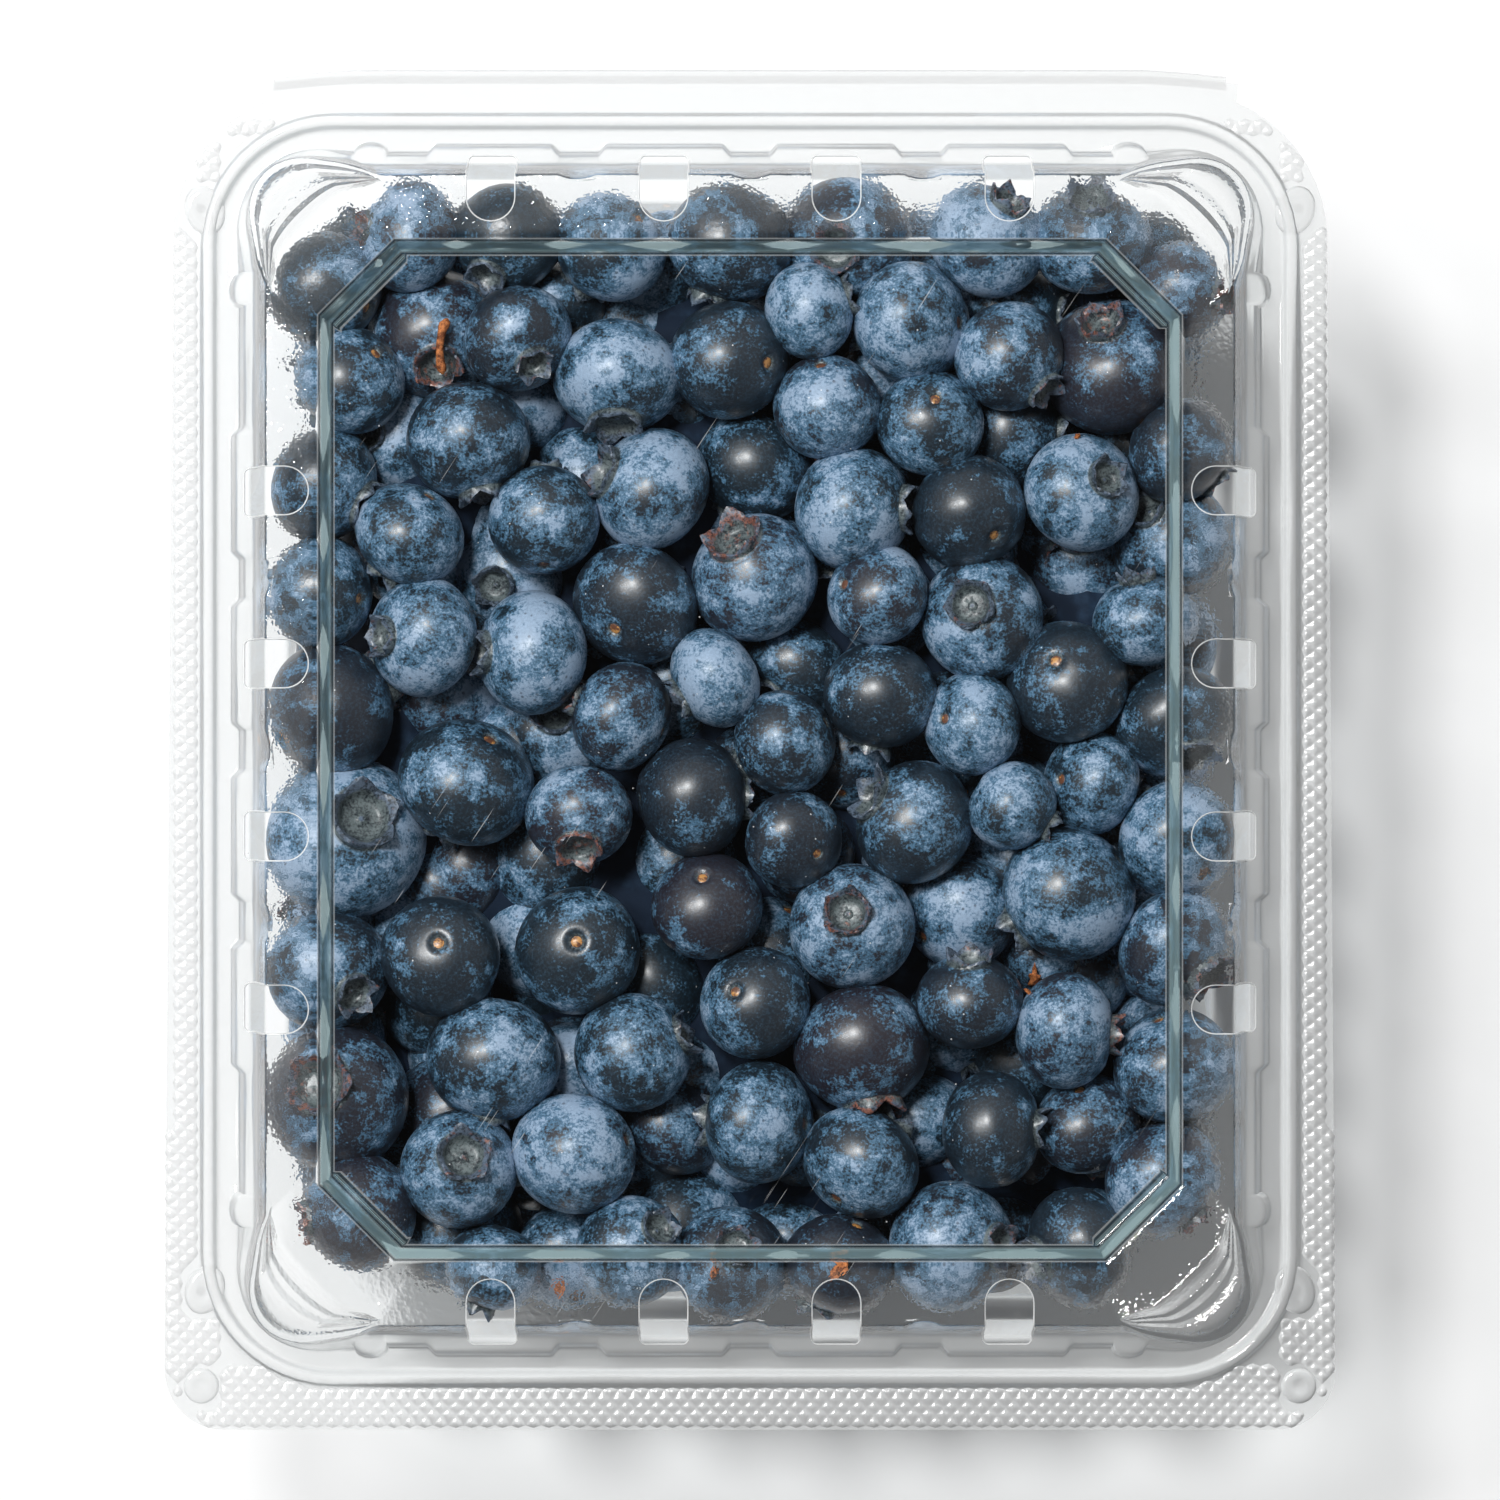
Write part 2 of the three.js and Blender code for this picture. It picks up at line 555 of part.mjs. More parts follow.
/** All the fruit that can be seen: uppermost, just under it, along the walls and on the floor. */
function packBerries() {
  const draw = seededDraws(SEED);
  const berries = LEADING_BERRIES.map(([x, y, size]) => {
    const radius = size / 2;
    const berry = { x, y, z: heapTop(x, y) - radius, radius, layer: 'top', fixed: true };
    confine(berry);
    return berry;
  });
  const anywhere = (height) => (radius) => {
    const x = (2 * draw() - 1) * REACH.x;
    const y = (2 * draw() - 1) * REACH.y;
    return { x, y, z: height(x, y, radius) };
  };
  scatter(berries, 'top', TRIES.top, draw, anywhere((x, y, radius) => heapTop(x, y) - radius));
  scatter(berries, 'under', TRIES.under, draw, anywhere((x, y, radius) => heapTop(x, y) - UNDER - radius));
  scatter(berries, 'floor', TRIES.floor, draw, anywhere((x, y, radius) => HEAP_FLOOR + radius));
  for (const height of WALL_ROWS) {
    scatter(berries, 'wall', TRIES.wall, draw, () => {
      const side = Math.floor(4 * draw());
      const along = REACH.y * (2 * draw() - 1);
      const z = height + ROW_SPREAD * (draw() - 0.5);
      if (side === 0) return { x: along, y: -REACH.y, z };
      if (side === 1) return { x: REACH.y, y: along, z };
      if (side === 2) return { x: along, y: REACH.y, z };
      return { x: -REACH.y, y: along, z };
    });
  }
  for (const berry of berries) berry.home = [berry.x, berry.y];
  for (let round = 0; round < ROUNDS; round += 1) {
    berries.forEach(drift);
    for (let i = 0; i < berries.length; i += 1) {
      for (let j = i + 1; j < berries.length; j += 1) part(berries[i], berries[j]);
    }
    berries.forEach(confine);
  }
  return berries;
}

const CORE = { halfX: 46.5, halfY: 55.5, low: 6.5, high: 47, bevel: 3.5, cut: 7 }; // fruit that can't be seen

/** The heap: a core with the berries that show fused on. */
function makeHeap() {
  const [x, y] = [CORE.halfX - CORE.bevel, CORE.halfY - CORE.bevel];
  const right = [[x - CORE.cut, -y], [x, CORE.cut - y], [x, y - CORE.cut], [x - CORE.cut, y]];
  const left = right.map(([cornerX, cornerY]) => [-cornerX, -cornerY]);
  const shape = new THREE.Shape([...right, ...left].map((corner) => new THREE.Vector2(...corner)));
  const core = new THREE.ExtrudeGeometry(shape, {
    depth: CORE.high - CORE.low - 2 * CORE.bevel,
    bevelThickness: CORE.bevel,
    bevelSize: CORE.bevel,
    bevelSegments: 1,
  });
  const pieces = [solid(core.translate(0, 0, CORE.low + CORE.bevel))];
  for (const berry of packBerries()) {
    if (berry.layer === 'under' && berry.z + berry.radius < CORE.high + PEEK) continue;
    const round = berry.layer === 'top'
      ? new THREE.DodecahedronGeometry(berry.radius, 0)
      : new THREE.IcosahedronGeometry(berry.radius, 0);
    pieces.push(solid(round.translate(berry.x, berry.y, berry.z)));
  }
  return wasm.Manifold.union(pieces);
}

const CLEAR_SHEET = { color: 0xeef3f1, roughness: 0.08, metalness: 0, transparent: true, opacity: 0.3 };
const BERRY_SKIN = { color: 0x2c3550, roughness: 0.5, metalness: 0 };

const punnet = new THREE.Group();
punnet.add(subPart('base', makeBase(), CLEAR_SHEET));
punnet.add(subPart('lid', makeLid(), CLEAR_SHEET));
punnet.add(subPart('berries', makeHeap(), BERRY_SKIN));

export default punnet;
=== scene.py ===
# %% [markdown]
# # A punnet of blueberries
# The pack is one thin clear sheet, formed into a tub and a lid that share a fold at the back.
# The fruit fills it to the lid. The solids of the frame give every size, and this file gives the
# looks: the sheet as a thin shell with its bends, vents and knurled rim, and the berries one by one.
#
# All lengths are worked out in millimetres and scaled to metres at the last step.

# %% Set-up
import json
import math

import bmesh
import bpy
import numpy as np
from mathutils import Euler, Matrix, Vector

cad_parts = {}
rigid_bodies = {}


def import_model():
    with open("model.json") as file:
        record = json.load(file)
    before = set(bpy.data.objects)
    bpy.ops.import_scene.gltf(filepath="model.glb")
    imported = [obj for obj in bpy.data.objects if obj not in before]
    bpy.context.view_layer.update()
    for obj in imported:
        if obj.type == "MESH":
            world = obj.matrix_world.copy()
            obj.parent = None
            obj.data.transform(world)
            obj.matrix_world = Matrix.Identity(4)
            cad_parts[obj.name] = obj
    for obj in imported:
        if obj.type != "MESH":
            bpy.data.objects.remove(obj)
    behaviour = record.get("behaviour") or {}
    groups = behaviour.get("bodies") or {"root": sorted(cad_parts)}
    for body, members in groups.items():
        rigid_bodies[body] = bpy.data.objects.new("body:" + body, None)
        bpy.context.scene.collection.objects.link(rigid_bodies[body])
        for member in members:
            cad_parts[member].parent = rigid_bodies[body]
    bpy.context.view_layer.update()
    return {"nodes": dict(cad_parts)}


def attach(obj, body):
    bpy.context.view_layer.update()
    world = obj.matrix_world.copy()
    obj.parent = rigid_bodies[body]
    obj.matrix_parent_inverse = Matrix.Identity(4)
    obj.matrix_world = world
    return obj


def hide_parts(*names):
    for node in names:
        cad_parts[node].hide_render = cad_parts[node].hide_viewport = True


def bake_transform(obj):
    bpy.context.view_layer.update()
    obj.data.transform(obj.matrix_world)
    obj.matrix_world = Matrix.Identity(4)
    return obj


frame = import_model()
MM = 0.001
print("nodes:", sorted(frame["nodes"]))

# %% [markdown]
# ## Shader arithmetic
# A material is a small calculation. Written as Python it reads like one: `Value` wraps a socket, and
# each operator adds the Math node that does it. `Finish` holds one material and adds all its nodes.

# %% Values and finishes
class Value:
    """An output socket that takes part in arithmetic."""

    def __init__(self, finish, socket):
        self.finish, self.socket = finish, socket

    def out(self, name):
        return Value(self.finish, self.socket.node.outputs[name])

    def math(self, operation, first, second, clamp=False):
        return self.finish.add("ShaderNodeMath", {"operation": operation, "use_clamp": clamp},
                               {0: first, 1: second})

    def __add__(self, other):
        return self.math("ADD", self, other)

    def __radd__(self, other):
        return self.math("ADD", other, self)

    def __sub__(self, other):
        return self.math("SUBTRACT", self, other)

    def __rsub__(self, other):
        return self.math("SUBTRACT", other, self)

    def __mul__(self, other):
        return self.math("MULTIPLY", self, other)

    def __rmul__(self, other):
        return self.math("MULTIPLY", other, self)

    def at_least(self, other):
        return self.math("MAXIMUM", self, other)

    def clamped(self):
        return self.math("ADD", self, 0.0, clamp=True)

    def between(self, low, high):
        """0 below low, 1 above high and smooth in between."""
        return self.finish.add("ShaderNodeMapRange", {"interpolation_type": "SMOOTHSTEP"},
                               {"Value": self, "From Min": low, "From Max": high})


class Finish:
    """One material, or the world around the object, and the nodes in it."""

    def __init__(self, name, kept_in=bpy.data.materials, end="ShaderNodeOutputMaterial"):
        self.owner = kept_in.new(name)
        self.owner.use_nodes = True
        self.nodes = self.owner.node_tree.nodes
        self.links = self.owner.node_tree.links
        self.nodes.clear()
        self.end = self.nodes.new(end)

    def add(self, kind, settings=None, sockets=None, output=0):
        """A node of one kind: its settings first, then values or links into its sockets."""
        node = self.nodes.new(kind)
        for key, value in (settings or {}).items():
            setattr(node, key, value)
        for key, value in (sockets or {}).items():
            if isinstance(value, Value):
                self.links.new(value.socket, node.inputs[key])
            else:
                node.inputs[key].default_value = value
        return Value(self, node.outputs[output])

    def mix(self, share, first, second):
        """A colour between two colours."""
        return self.add("ShaderNodeMix", {"data_type": "RGBA"}, {0: share, 6: first, 7: second}, output=2)

    def place(self):
        return self.add("ShaderNodeTexCoord").out("Object")

    def noise(self, place, period_mm, detail=3.0, roughness=0.5):
        """Noise whose lumps are about period_mm across."""
        return self.add("ShaderNodeTexNoise", None, {
            "Vector": place, "Scale": 1 / (period_mm * MM), "Detail": detail, "Roughness": roughness})

    def colour_of(self, attribute):
        """The red, green and blue parts of a mesh's own colour attribute."""
        colour = self.add("ShaderNodeAttribute", {"attribute_name": attribute}).out("Color")
        parts = self.add("ShaderNodeSeparateColor", None, {0: colour})
        return parts.out("Red"), parts.out("Green"), parts.out("Blue")

    def dots(self, place, period_mm, low, high):
        """1 in dots that lie about period_mm apart, and 0 between them."""
        cells = self.add("ShaderNodeTexVoronoi", None, {"Vector": place, "Scale": 1 / (period_mm * MM)})
        return 1 - cells.between(low, high)

    def bumps(self, height, depth_mm, strength):
        """The normal of a surface with a fine relief."""
        return self.add("ShaderNodeBump", None, {
            "Strength": strength, "Distance": depth_mm * MM, "Height": height})

    def principled(self, sockets):
        return self.add("ShaderNodeBsdfPrincipled", None, sockets)

    def film(self, colour):
        return self.add("ShaderNodeBsdfTransparent", None, {"Color": colour})

    def layered(self, share, first, second):
        """A surface between two surfaces."""
        return self.add("ShaderNodeMixShader", None, {0: share, 1: first, 2: second})

    def finish(self, surface):
        self.links.new(surface.socket, self.end.inputs["Surface"])
        return self.owner

# %% [markdown]
# ## The clear sheet
# PET is as clear as glass and bends light as strongly, so its bends show as bright and dark lines.
# Where the sheet stands steep, light crosses more of it and takes on its grey-green. Seen by the
# camera it is a refracting solid. To light on its way to the fruit it is an even, almost clear film,
# because light traced through a bent sheet would come out as a storm of bright dots.

# %% Clear sheet
SHEET_IOR = 1.57
FILM_TINT = (0.98, 0.984, 0.984, 1)
DULL_FILM = (0.935, 0.935, 0.935, 1)
ROLLED_FILM = (0.88, 0.88, 0.88, 1)
FLAT_TINT = (0.995, 0.997, 0.996, 1)
STEEP_TINT = (0.88, 0.91, 0.905, 1)
# The panel step's band: the sheet's green seen edge-on, darkened by painted shade that stands for the
# refraction in the step.
STEP_TINT_AND_SHADE = (0.13, 0.21, 0.22, 1)
TEAL_HAZE_AND_SHADE = (0.30, 0.44, 0.46, 1)
# A painted dark line along the step's bends, standing for the refraction there.
PAINTED_EDGE_SHADE = (0.012, 0.022, 0.028, 1)
RIM_TINT = (0.85, 0.857, 0.857, 1)
HAZE = (0.9, 0.91, 0.91, 1)
PUNCHED = (0.93, 0.94, 0.93, 1)
FROSTED = (0.95, 0.955, 0.955, 1)


# %% Light through a sheet
def see_through(finish, seen, film=None):
    """What the camera sees, and a plain film for the rays that carry light to other things."""
    rays = finish.add("ShaderNodeLightPath")
    shadow, diffuse, glossy = [rays.out(f"Is {kind} Ray") for kind in ("Shadow", "Diffuse", "Glossy")]
    return finish.layered(shadow.at_least(diffuse).at_least(glossy), seen, film or finish.film(FILM_TINT))


def steepness(finish):
    """0 where the sheet lies flat and 1 where it stands upright."""
    normal = finish.add("ShaderNodeNewGeometry").out("Normal")
    upward = finish.add("ShaderNodeSeparateXYZ", None, {0: normal}).out("Z")
    return 1 - finish.add("ShaderNodeMath", {"operation": "ABSOLUTE"}, {0: upward})


def scratches(finish, place):
    """Short fine scratches in one direction, in a few places only."""
    turned = finish.add("ShaderNodeVectorRotate", {"rotation_type": "Z_AXIS"}, {
        "Vector": place, "Angle": math.radians(33)})
    along = finish.add("ShaderNodeMapping", None, {
        "Vector": turned, "Scale": (1 / (0.2 * MM), 1 / (9 * MM), 1 / MM)})
    lines = finish.add("ShaderNodeTexNoise", None, {"Vector": along, "Scale": 1.0, "Detail": 1.0})
    return lines.between(0.735, 0.77) * finish.noise(place, 18).between(0.54, 0.60)


# %% The sheet's finish
def clear_sheet():
    """The panel's step is a dark teal band, the sheet's green deepened by painted shade for the refraction in
    it, with painted dark lines along its edges; grainy is the shoulder and hazy the walls and the flange.
    """
    finish = Finish("clear_sheet")
    place = finish.place()
    dark_step, grainy, hazy = finish.colour_of("sheet")
    steep = steepness(finish).between(0.25, 0.6)
    # 1 where the step's band meets its edges: there a painted dark line stands for the refraction in the
    # bends.
    edge = dark_step * (1 - dark_step) * 4
    thin_tint = finish.mix(steep, finish.mix(hazy, FLAT_TINT, RIM_TINT), STEEP_TINT)
    ripple = finish.noise(place, 9, detail=1) * (1 - dark_step) * 0.8
    grain = finish.noise(place, 0.46, detail=1) * (grainy * 1.05 + 0.012)
    scuffs = finish.noise(place, 3.5, detail=3, roughness=0.7).between(0.55, 0.75)
    # In the step's band the sheet is tinted dark teal and veiled in teal: painted shade for the refraction
    # there.
    clear = finish.principled({
        "Base Color": finish.mix(dark_step, thin_tint, STEP_TINT_AND_SHADE),
        "Roughness": scuffs * 0.05 + dark_step * 0.05 + 0.012, "IOR": SHEET_IOR,
        "Transmission Weight": 1.0, "Normal": finish.bumps(ripple + grain, 0.3, 0.25)})
    haze = finish.principled({
        "Base Color": finish.mix(edge, finish.mix(dark_step, HAZE, TEAL_HAZE_AND_SHADE), PAINTED_EDGE_SHADE),
        "Roughness": 0.6, "Specular IOR Level": 0.0})
    marks = (scratches(finish, place) * 0.22).at_least(finish.dots(place, 3.2, 0.02, 0.035) * 0.35)
    veil = (hazy * (steep * 0.06 + 0.36)).at_least(marks).at_least(dark_step * 0.36)
    veil = veil.at_least(edge * 0.8).at_least(grainy * 0.035).at_least(steep * 0.14)
    film = finish.layered(hazy, finish.film(FILM_TINT), finish.film(DULL_FILM))
    return finish.finish(see_through(finish, finish.layered(veil, clear, haze), film))


# %% Punched and rolled sheet
def punched_edge():
    """The edge of a vent: the sheet's own thickness, dulled by the punch."""
    finish = Finish("punched_edge")
    grain = finish.noise(finish.place(), 0.5)
    seen = finish.principled({
        "Base Color": PUNCHED, "Roughness": 0.3, "IOR": SHEET_IOR,
        "Transmission Weight": 0.4, "Normal": finish.bumps(grain, 0.05, 0.3)})
    return finish.finish(see_through(finish, seen))


def rolled_sheet():
    """Sheet worked by a knurling roll, which frosts every facet a little."""
    finish = Finish("rolled_sheet")
    grain = finish.noise(finish.place(), 0.3, detail=3)
    seen = finish.principled({
        "Base Color": FROSTED, "Roughness": grain * 0.12 + 0.14, "IOR": SHEET_IOR,
        "Transmission Weight": 0.62, "Normal": finish.bumps(grain, 0.05, 0.3)})
    return finish.finish(see_through(finish, seen, finish.film(ROLLED_FILM)))


CLEAR_SHEET = clear_sheet()
ROLLED_SHEET = rolled_sheet()
PUNCHED_EDGE = punched_edge()
print("sheet:", CLEAR_SHEET.name, ROLLED_SHEET.name, PUNCHED_EDGE.name)

# %% [markdown]
# ## The skin of a berry
# A blueberry is nearly black. What looks blue is wax, the bloom: fine pale grains, thick in patches
# and rubbed off where berries touched. Each berry has three regions, told apart by a colour
# attribute called `look`: red is 0 on skin, 0.5 on the crown and 1 on the stem's scar, green is the
# berry's own tone, and blue is how much bloom it still carries.

# %% Berry skin
NIGHT = (0.0040, 0.0105, 0.0165, 1)
PLUM = (0.014, 0.009, 0.014, 1)
WAX = (0.072, 0.180, 0.295, 1)
PALE_WAX = (0.32, 0.44, 0.60, 1)
SPECK = (0.75, 0.78, 0.80, 1)
CROWN_BLUE = (0.105, 0.145, 0.205, 1)
DISH_GREY = (0.115, 0.145, 0.150, 1)
CROWN_BROWN = (0.23, 0.085, 0.055, 1)
CROWN_DARK = (0.030, 0.014, 0.014, 1)
SCAR = (0.52, 0.25, 0.075, 1)
SCAR_DARK = (0.13, 0.05, 0.025, 1)
# The heap's hidden core: night-blue and a dim bloom, painted shade of the deep gaps.
SHADED_DEEP_NIGHT = (0.006, 0.014, 0.030, 1)
SHADED_DEEP_BLOOM = (0.03, 0.065, 0.12, 1)
HUSK_DARK = (0.12, 0.035, 0.015, 1)
HUSK_ORANGE = (0.62, 0.22, 0.075, 1)


# %% The skin's finish
def berry_skin():
    finish = Finish("berry_skin")
    place = finish.place()
    part, tone, bloom = finish.colour_of("look")
    patches = finish.noise(place, 5, detail=2, roughness=0.5)
    smears = finish.noise(place, 1.7, detail=3, roughness=0.66)
    grains = finish.noise(place, 0.32, detail=1, roughness=0.75)
    ragged = finish.noise(place, 0.8, detail=2, roughness=0.7)

    # The skin: bloom in patches, smears and grains, with bare pits and a few pale specks.
    cover = (patches - 0.5) * 1.5 + (smears - 0.5) * 1.3 + (grains - 0.5) * 0.85 + (bloom - 0.5) * 0.6
    wax = cover.between(-0.16, 0.16)
    bare_pits = finish.dots(place, 1.1, 0.10, 0.22) * 0.6
    waxed = (wax - bare_pits).clamped() * 0.78 + grains.between(0.4, 0.7) * 0.12 + 0.02
    waxy = finish.mix(cover.between(0.1, 0.45), WAX, PALE_WAX)
    skin = finish.mix(waxed, finish.mix(tone, NIGHT, PLUM), waxy)
    skin = finish.mix(finish.dots(place, 2.3, 0.03, 0.05) * 0.7, skin, SPECK)

    # The crown: grey in its bowl, bluer on its lobes, and dry and brown on some berries.
    lobes = part.between(0.44, 0.5)
    brown = (ragged * 1.2 + tone * 0.35 + lobes * 0.15).between(0.92, 1.2)
    living = finish.mix((smears * 0.6 + grains * 0.7).between(0.45, 0.8), NIGHT,
                        finish.mix(lobes, DISH_GREY, CROWN_BLUE))
    dried = finish.mix(grains.between(0.3, 0.6), CROWN_DARK, CROWN_BROWN)
    on_crown = part.between(0.12, 0.35)
    scar = finish.mix((ragged - bloom * 0.2).between(0.38, 0.52), SCAR_DARK, SCAR)
    colour = finish.mix(on_crown, skin, finish.mix(brown, living, dried))
    colour = finish.mix(part.between(0.6, 0.85), colour, scar)
    relief = grains * 0.2 + smears * 0.5 + ragged * on_crown * 1.2
    return finish.finish(finish.principled({
        "Base Color": colour, "Roughness": wax * 0.12 + 0.42, "Specular IOR Level": 0.6,
        "Normal": finish.bumps(relief, 0.12, 0.6),
        "Coat Weight": 0.42 - wax * 0.14, "Coat Roughness": 0.26}))


# %% Heart and husk
def shaded_heart_of_heap():
    """The fruit too deep to be told apart: night-blue with a breath of dim bloom, painted as dark as the
    shaded gaps look.
    """
    finish = Finish("shaded_deep_fruit")
    bloom = finish.noise(finish.place(), 3, detail=4).between(0.5, 0.8)
    return finish.finish(finish.principled({
        "Base Color": finish.mix(bloom * 0.5, SHADED_DEEP_NIGHT, SHADED_DEEP_BLOOM),
        "Roughness": 0.7, "Specular IOR Level": 0.1}))


def dry_husk():
    """Dry bits of stem and leaf."""
    finish = Finish("dry_husk")
    fibres = finish.noise(finish.place(), 0.7, detail=5, roughness=0.7)
    return finish.finish(finish.principled({
        "Base Color": finish.mix(fibres.between(0.35, 0.65), HUSK_DARK, HUSK_ORANGE),
        "Roughness": 0.7, "Specular IOR Level": 0.2, "Normal": finish.bumps(fibres, 0.15, 0.8)}))


BERRY_SKIN = berry_skin()
DRY_HUSK = dry_husk()
SHADED_DEEP_FRUIT = shaded_heart_of_heap()
print("fruit:", BERRY_SKIN.name, DRY_HUSK.name, SHADED_DEEP_FRUIT.name)

# %% [markdown]
# ## Drawing a form ring by ring
# The tub, the lid and a berry are all made the same way: fill a small circle, then extrude its rim
# again and again and set each new rim where the form goes next. It gives clean rows of faces, which
# take a thickness or a smooth shade without dents.

# %% Forms drawn in rings
def only_object(obj):
    bpy.ops.object.select_all(action="DESELECT")
    obj.select_set(True)
    bpy.context.view_layer.objects.active = obj


def set_rim(obj, points):
    """Moves the selected rim's vertices to `points`, each by its place round the rim."""
    mesh = bmesh.from_edit_mesh(obj.data)
    layer = mesh.verts.layers.int["place"]
    for vertex in mesh.verts:
        if vertex.select:
            vertex.co = points[vertex[layer]]
    bmesh.update_edit_mesh(obj.data)


def drawn_in_rings(name, rings, close=False):
    """A new object from a list of rings of points in millimetres, the filled middle first."""
    scaled = [np.asarray(ring) * MM for ring in rings]
    bpy.ops.object.select_all(action="DESELECT")
    bpy.ops.mesh.primitive_circle_add(vertices=len(scaled[0]), radius=1, fill_type="NGON")
    obj = bpy.context.object
    obj.name = name
    bpy.ops.object.mode_set(mode="EDIT")
    mesh = bmesh.from_edit_mesh(obj.data)
    layer = mesh.verts.layers.int.new("place")
    rim = sorted(mesh.verts, key=lambda vertex: round(math.atan2(vertex.co.y, vertex.co.x) % math.tau, 6))
    for place, vertex in enumerate(rim):
        vertex[layer] = place
        vertex.co = scaled[0][place]
    bmesh.update_edit_mesh(obj.data)
    bpy.context.tool_settings.mesh_select_mode = (False, True, False)
    bpy.ops.mesh.select_all(action="SELECT")
    bpy.ops.mesh.select_mode(type="EDGE")
    for ring in scaled[1:]:
        bpy.ops.mesh.extrude_edges_move()
        set_rim(obj, ring)
    if close:
        bpy.ops.mesh.extrude_edges_move()
        bpy.ops.mesh.merge(type="CENTER")
    bpy.ops.mesh.select_all(action="SELECT")
    bpy.ops.mesh.normals_make_consistent(inside=False)
    bpy.ops.object.mode_set(mode="OBJECT")
    return obj


# %% Thickness, selection and joining
def apply_modifier(obj, kind, **settings):
    only_object(obj)
    modifier = obj.modifiers.new(kind.title(), kind)
    for key, value in settings.items():
        setattr(modifier, key, value)
    bpy.ops.object.modifier_apply(modifier=modifier.name)


def with_thickness(obj, thickness, **settings):
    """Lets a skin's other side hang below it, thickness millimetres away."""
    apply_modifier(obj, "SOLIDIFY", thickness=thickness * MM, offset=-1, **settings)


def select_where(obj, kind, test):
    """In edit mode, selects the edges or faces that pass a test, and nothing else."""
    bpy.ops.mesh.select_all(action="DESELECT")
    mesh = bmesh.from_edit_mesh(obj.data)
    for element in getattr(mesh, kind):
        element.select_set(test(element))
    bmesh.update_edit_mesh(obj.data)


def joined(name, pieces):
    """Several objects as one mesh."""
    bpy.ops.object.select_all(action="DESELECT")
    for piece in pieces:
        piece.select_set(True)
    bpy.context.view_layer.objects.active = pieces[0]
    if len(pieces) > 1:
        bpy.ops.object.join()
    obj = bpy.context.object
    obj.name = name
    return obj


# %% Dressing a piece
def dressed(obj, material, body, replaces, angle=40):
    """Gives a finished piece its material and shading, and says what it is to the frame."""
    obj.data.materials.clear()
    obj.data.materials.append(material)
    only_object(obj)
    bpy.ops.object.transform_apply(location=True, rotation=True, scale=True)
    bpy.ops.object.shade_smooth_by_angle(angle=math.radians(angle))
    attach(obj, body)
    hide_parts(replaces)
    obj.data.calc_loop_triangles()
    size = [round(length / MM, 1) for length in obj.dimensions]
    print(f"{obj.name}: {len(obj.data.loop_triangles)} triangles, {size} mm")

# %% [markdown]
# ## Heights of the pack
# A formed pack is a stack of levels, and the fruit and the sheet share them. Each level has one name
# here, in millimetres above the ground, so that a change of height moves all that depends on it.

# %% Heights
FLANGE_Z = 42.0
SHOULDER_Z = FLANGE_Z + 14
PANEL_Z = SHOULDER_Z - 2.6
FOOT_Z, RIM_Z, LEDGE_Z = 0.5, 8.0, 33.6
print("flange, shoulder and panel at", FLANGE_Z, SHOULDER_Z, PANEL_Z, "mm")

# %% [markdown]
# ## Where the berries lie
# The solids hold the same heap: the berries that lie uppermost have their own places, and the rest
# are dropped round them at random and then pushed apart until none overlap. A rigid-body drop would
# pile them as well, but elsewhere. The same seed and the same arithmetic give the same heap here, so
# that every berry fits the solid that it replaces.

# %% The heap
HEAP_CLEARANCE = 0.45
HEAP_FLOOR = FOOT_Z + 1.6 + HEAP_CLEARANCE
HEAP_CEILING = PANEL_Z - 0.5 - HEAP_CLEARANCE
HEAP_HALF_X, HEAP_HALF_Y = 48.2, 57.3
FRONT_CORNER, BACK_CORNER = 21.0, 12.0
EDGE_WIDTH, EDGE_FALL, LAYER_DEPTH = 16, 4.5, 10
REACH_X, REACH_Y, WALL_REACH, WALL_HEIGHTS = 53, 62, 62, (16, 27, 37)
# How far the pack widens up to its ledge and up to its flange, and narrows again in the lid.
WALL_WIDENS, LEDGE_WIDENS, LID_NARROWS = 2, 2.8, 2.4
SMALLEST, SPREAD = 5.2, 2.9
TRIES = {"top": 4000, "under": 2000, "floor": 1500, "wall": 700}
CROWDING, OVERLAP, ROUNDS, DRIFT, HOMING = 0.8, 0.97, 70, 0.35, 0.3
SPREADING = 1 + DRIFT / 60
HEAP_SEED = 90210

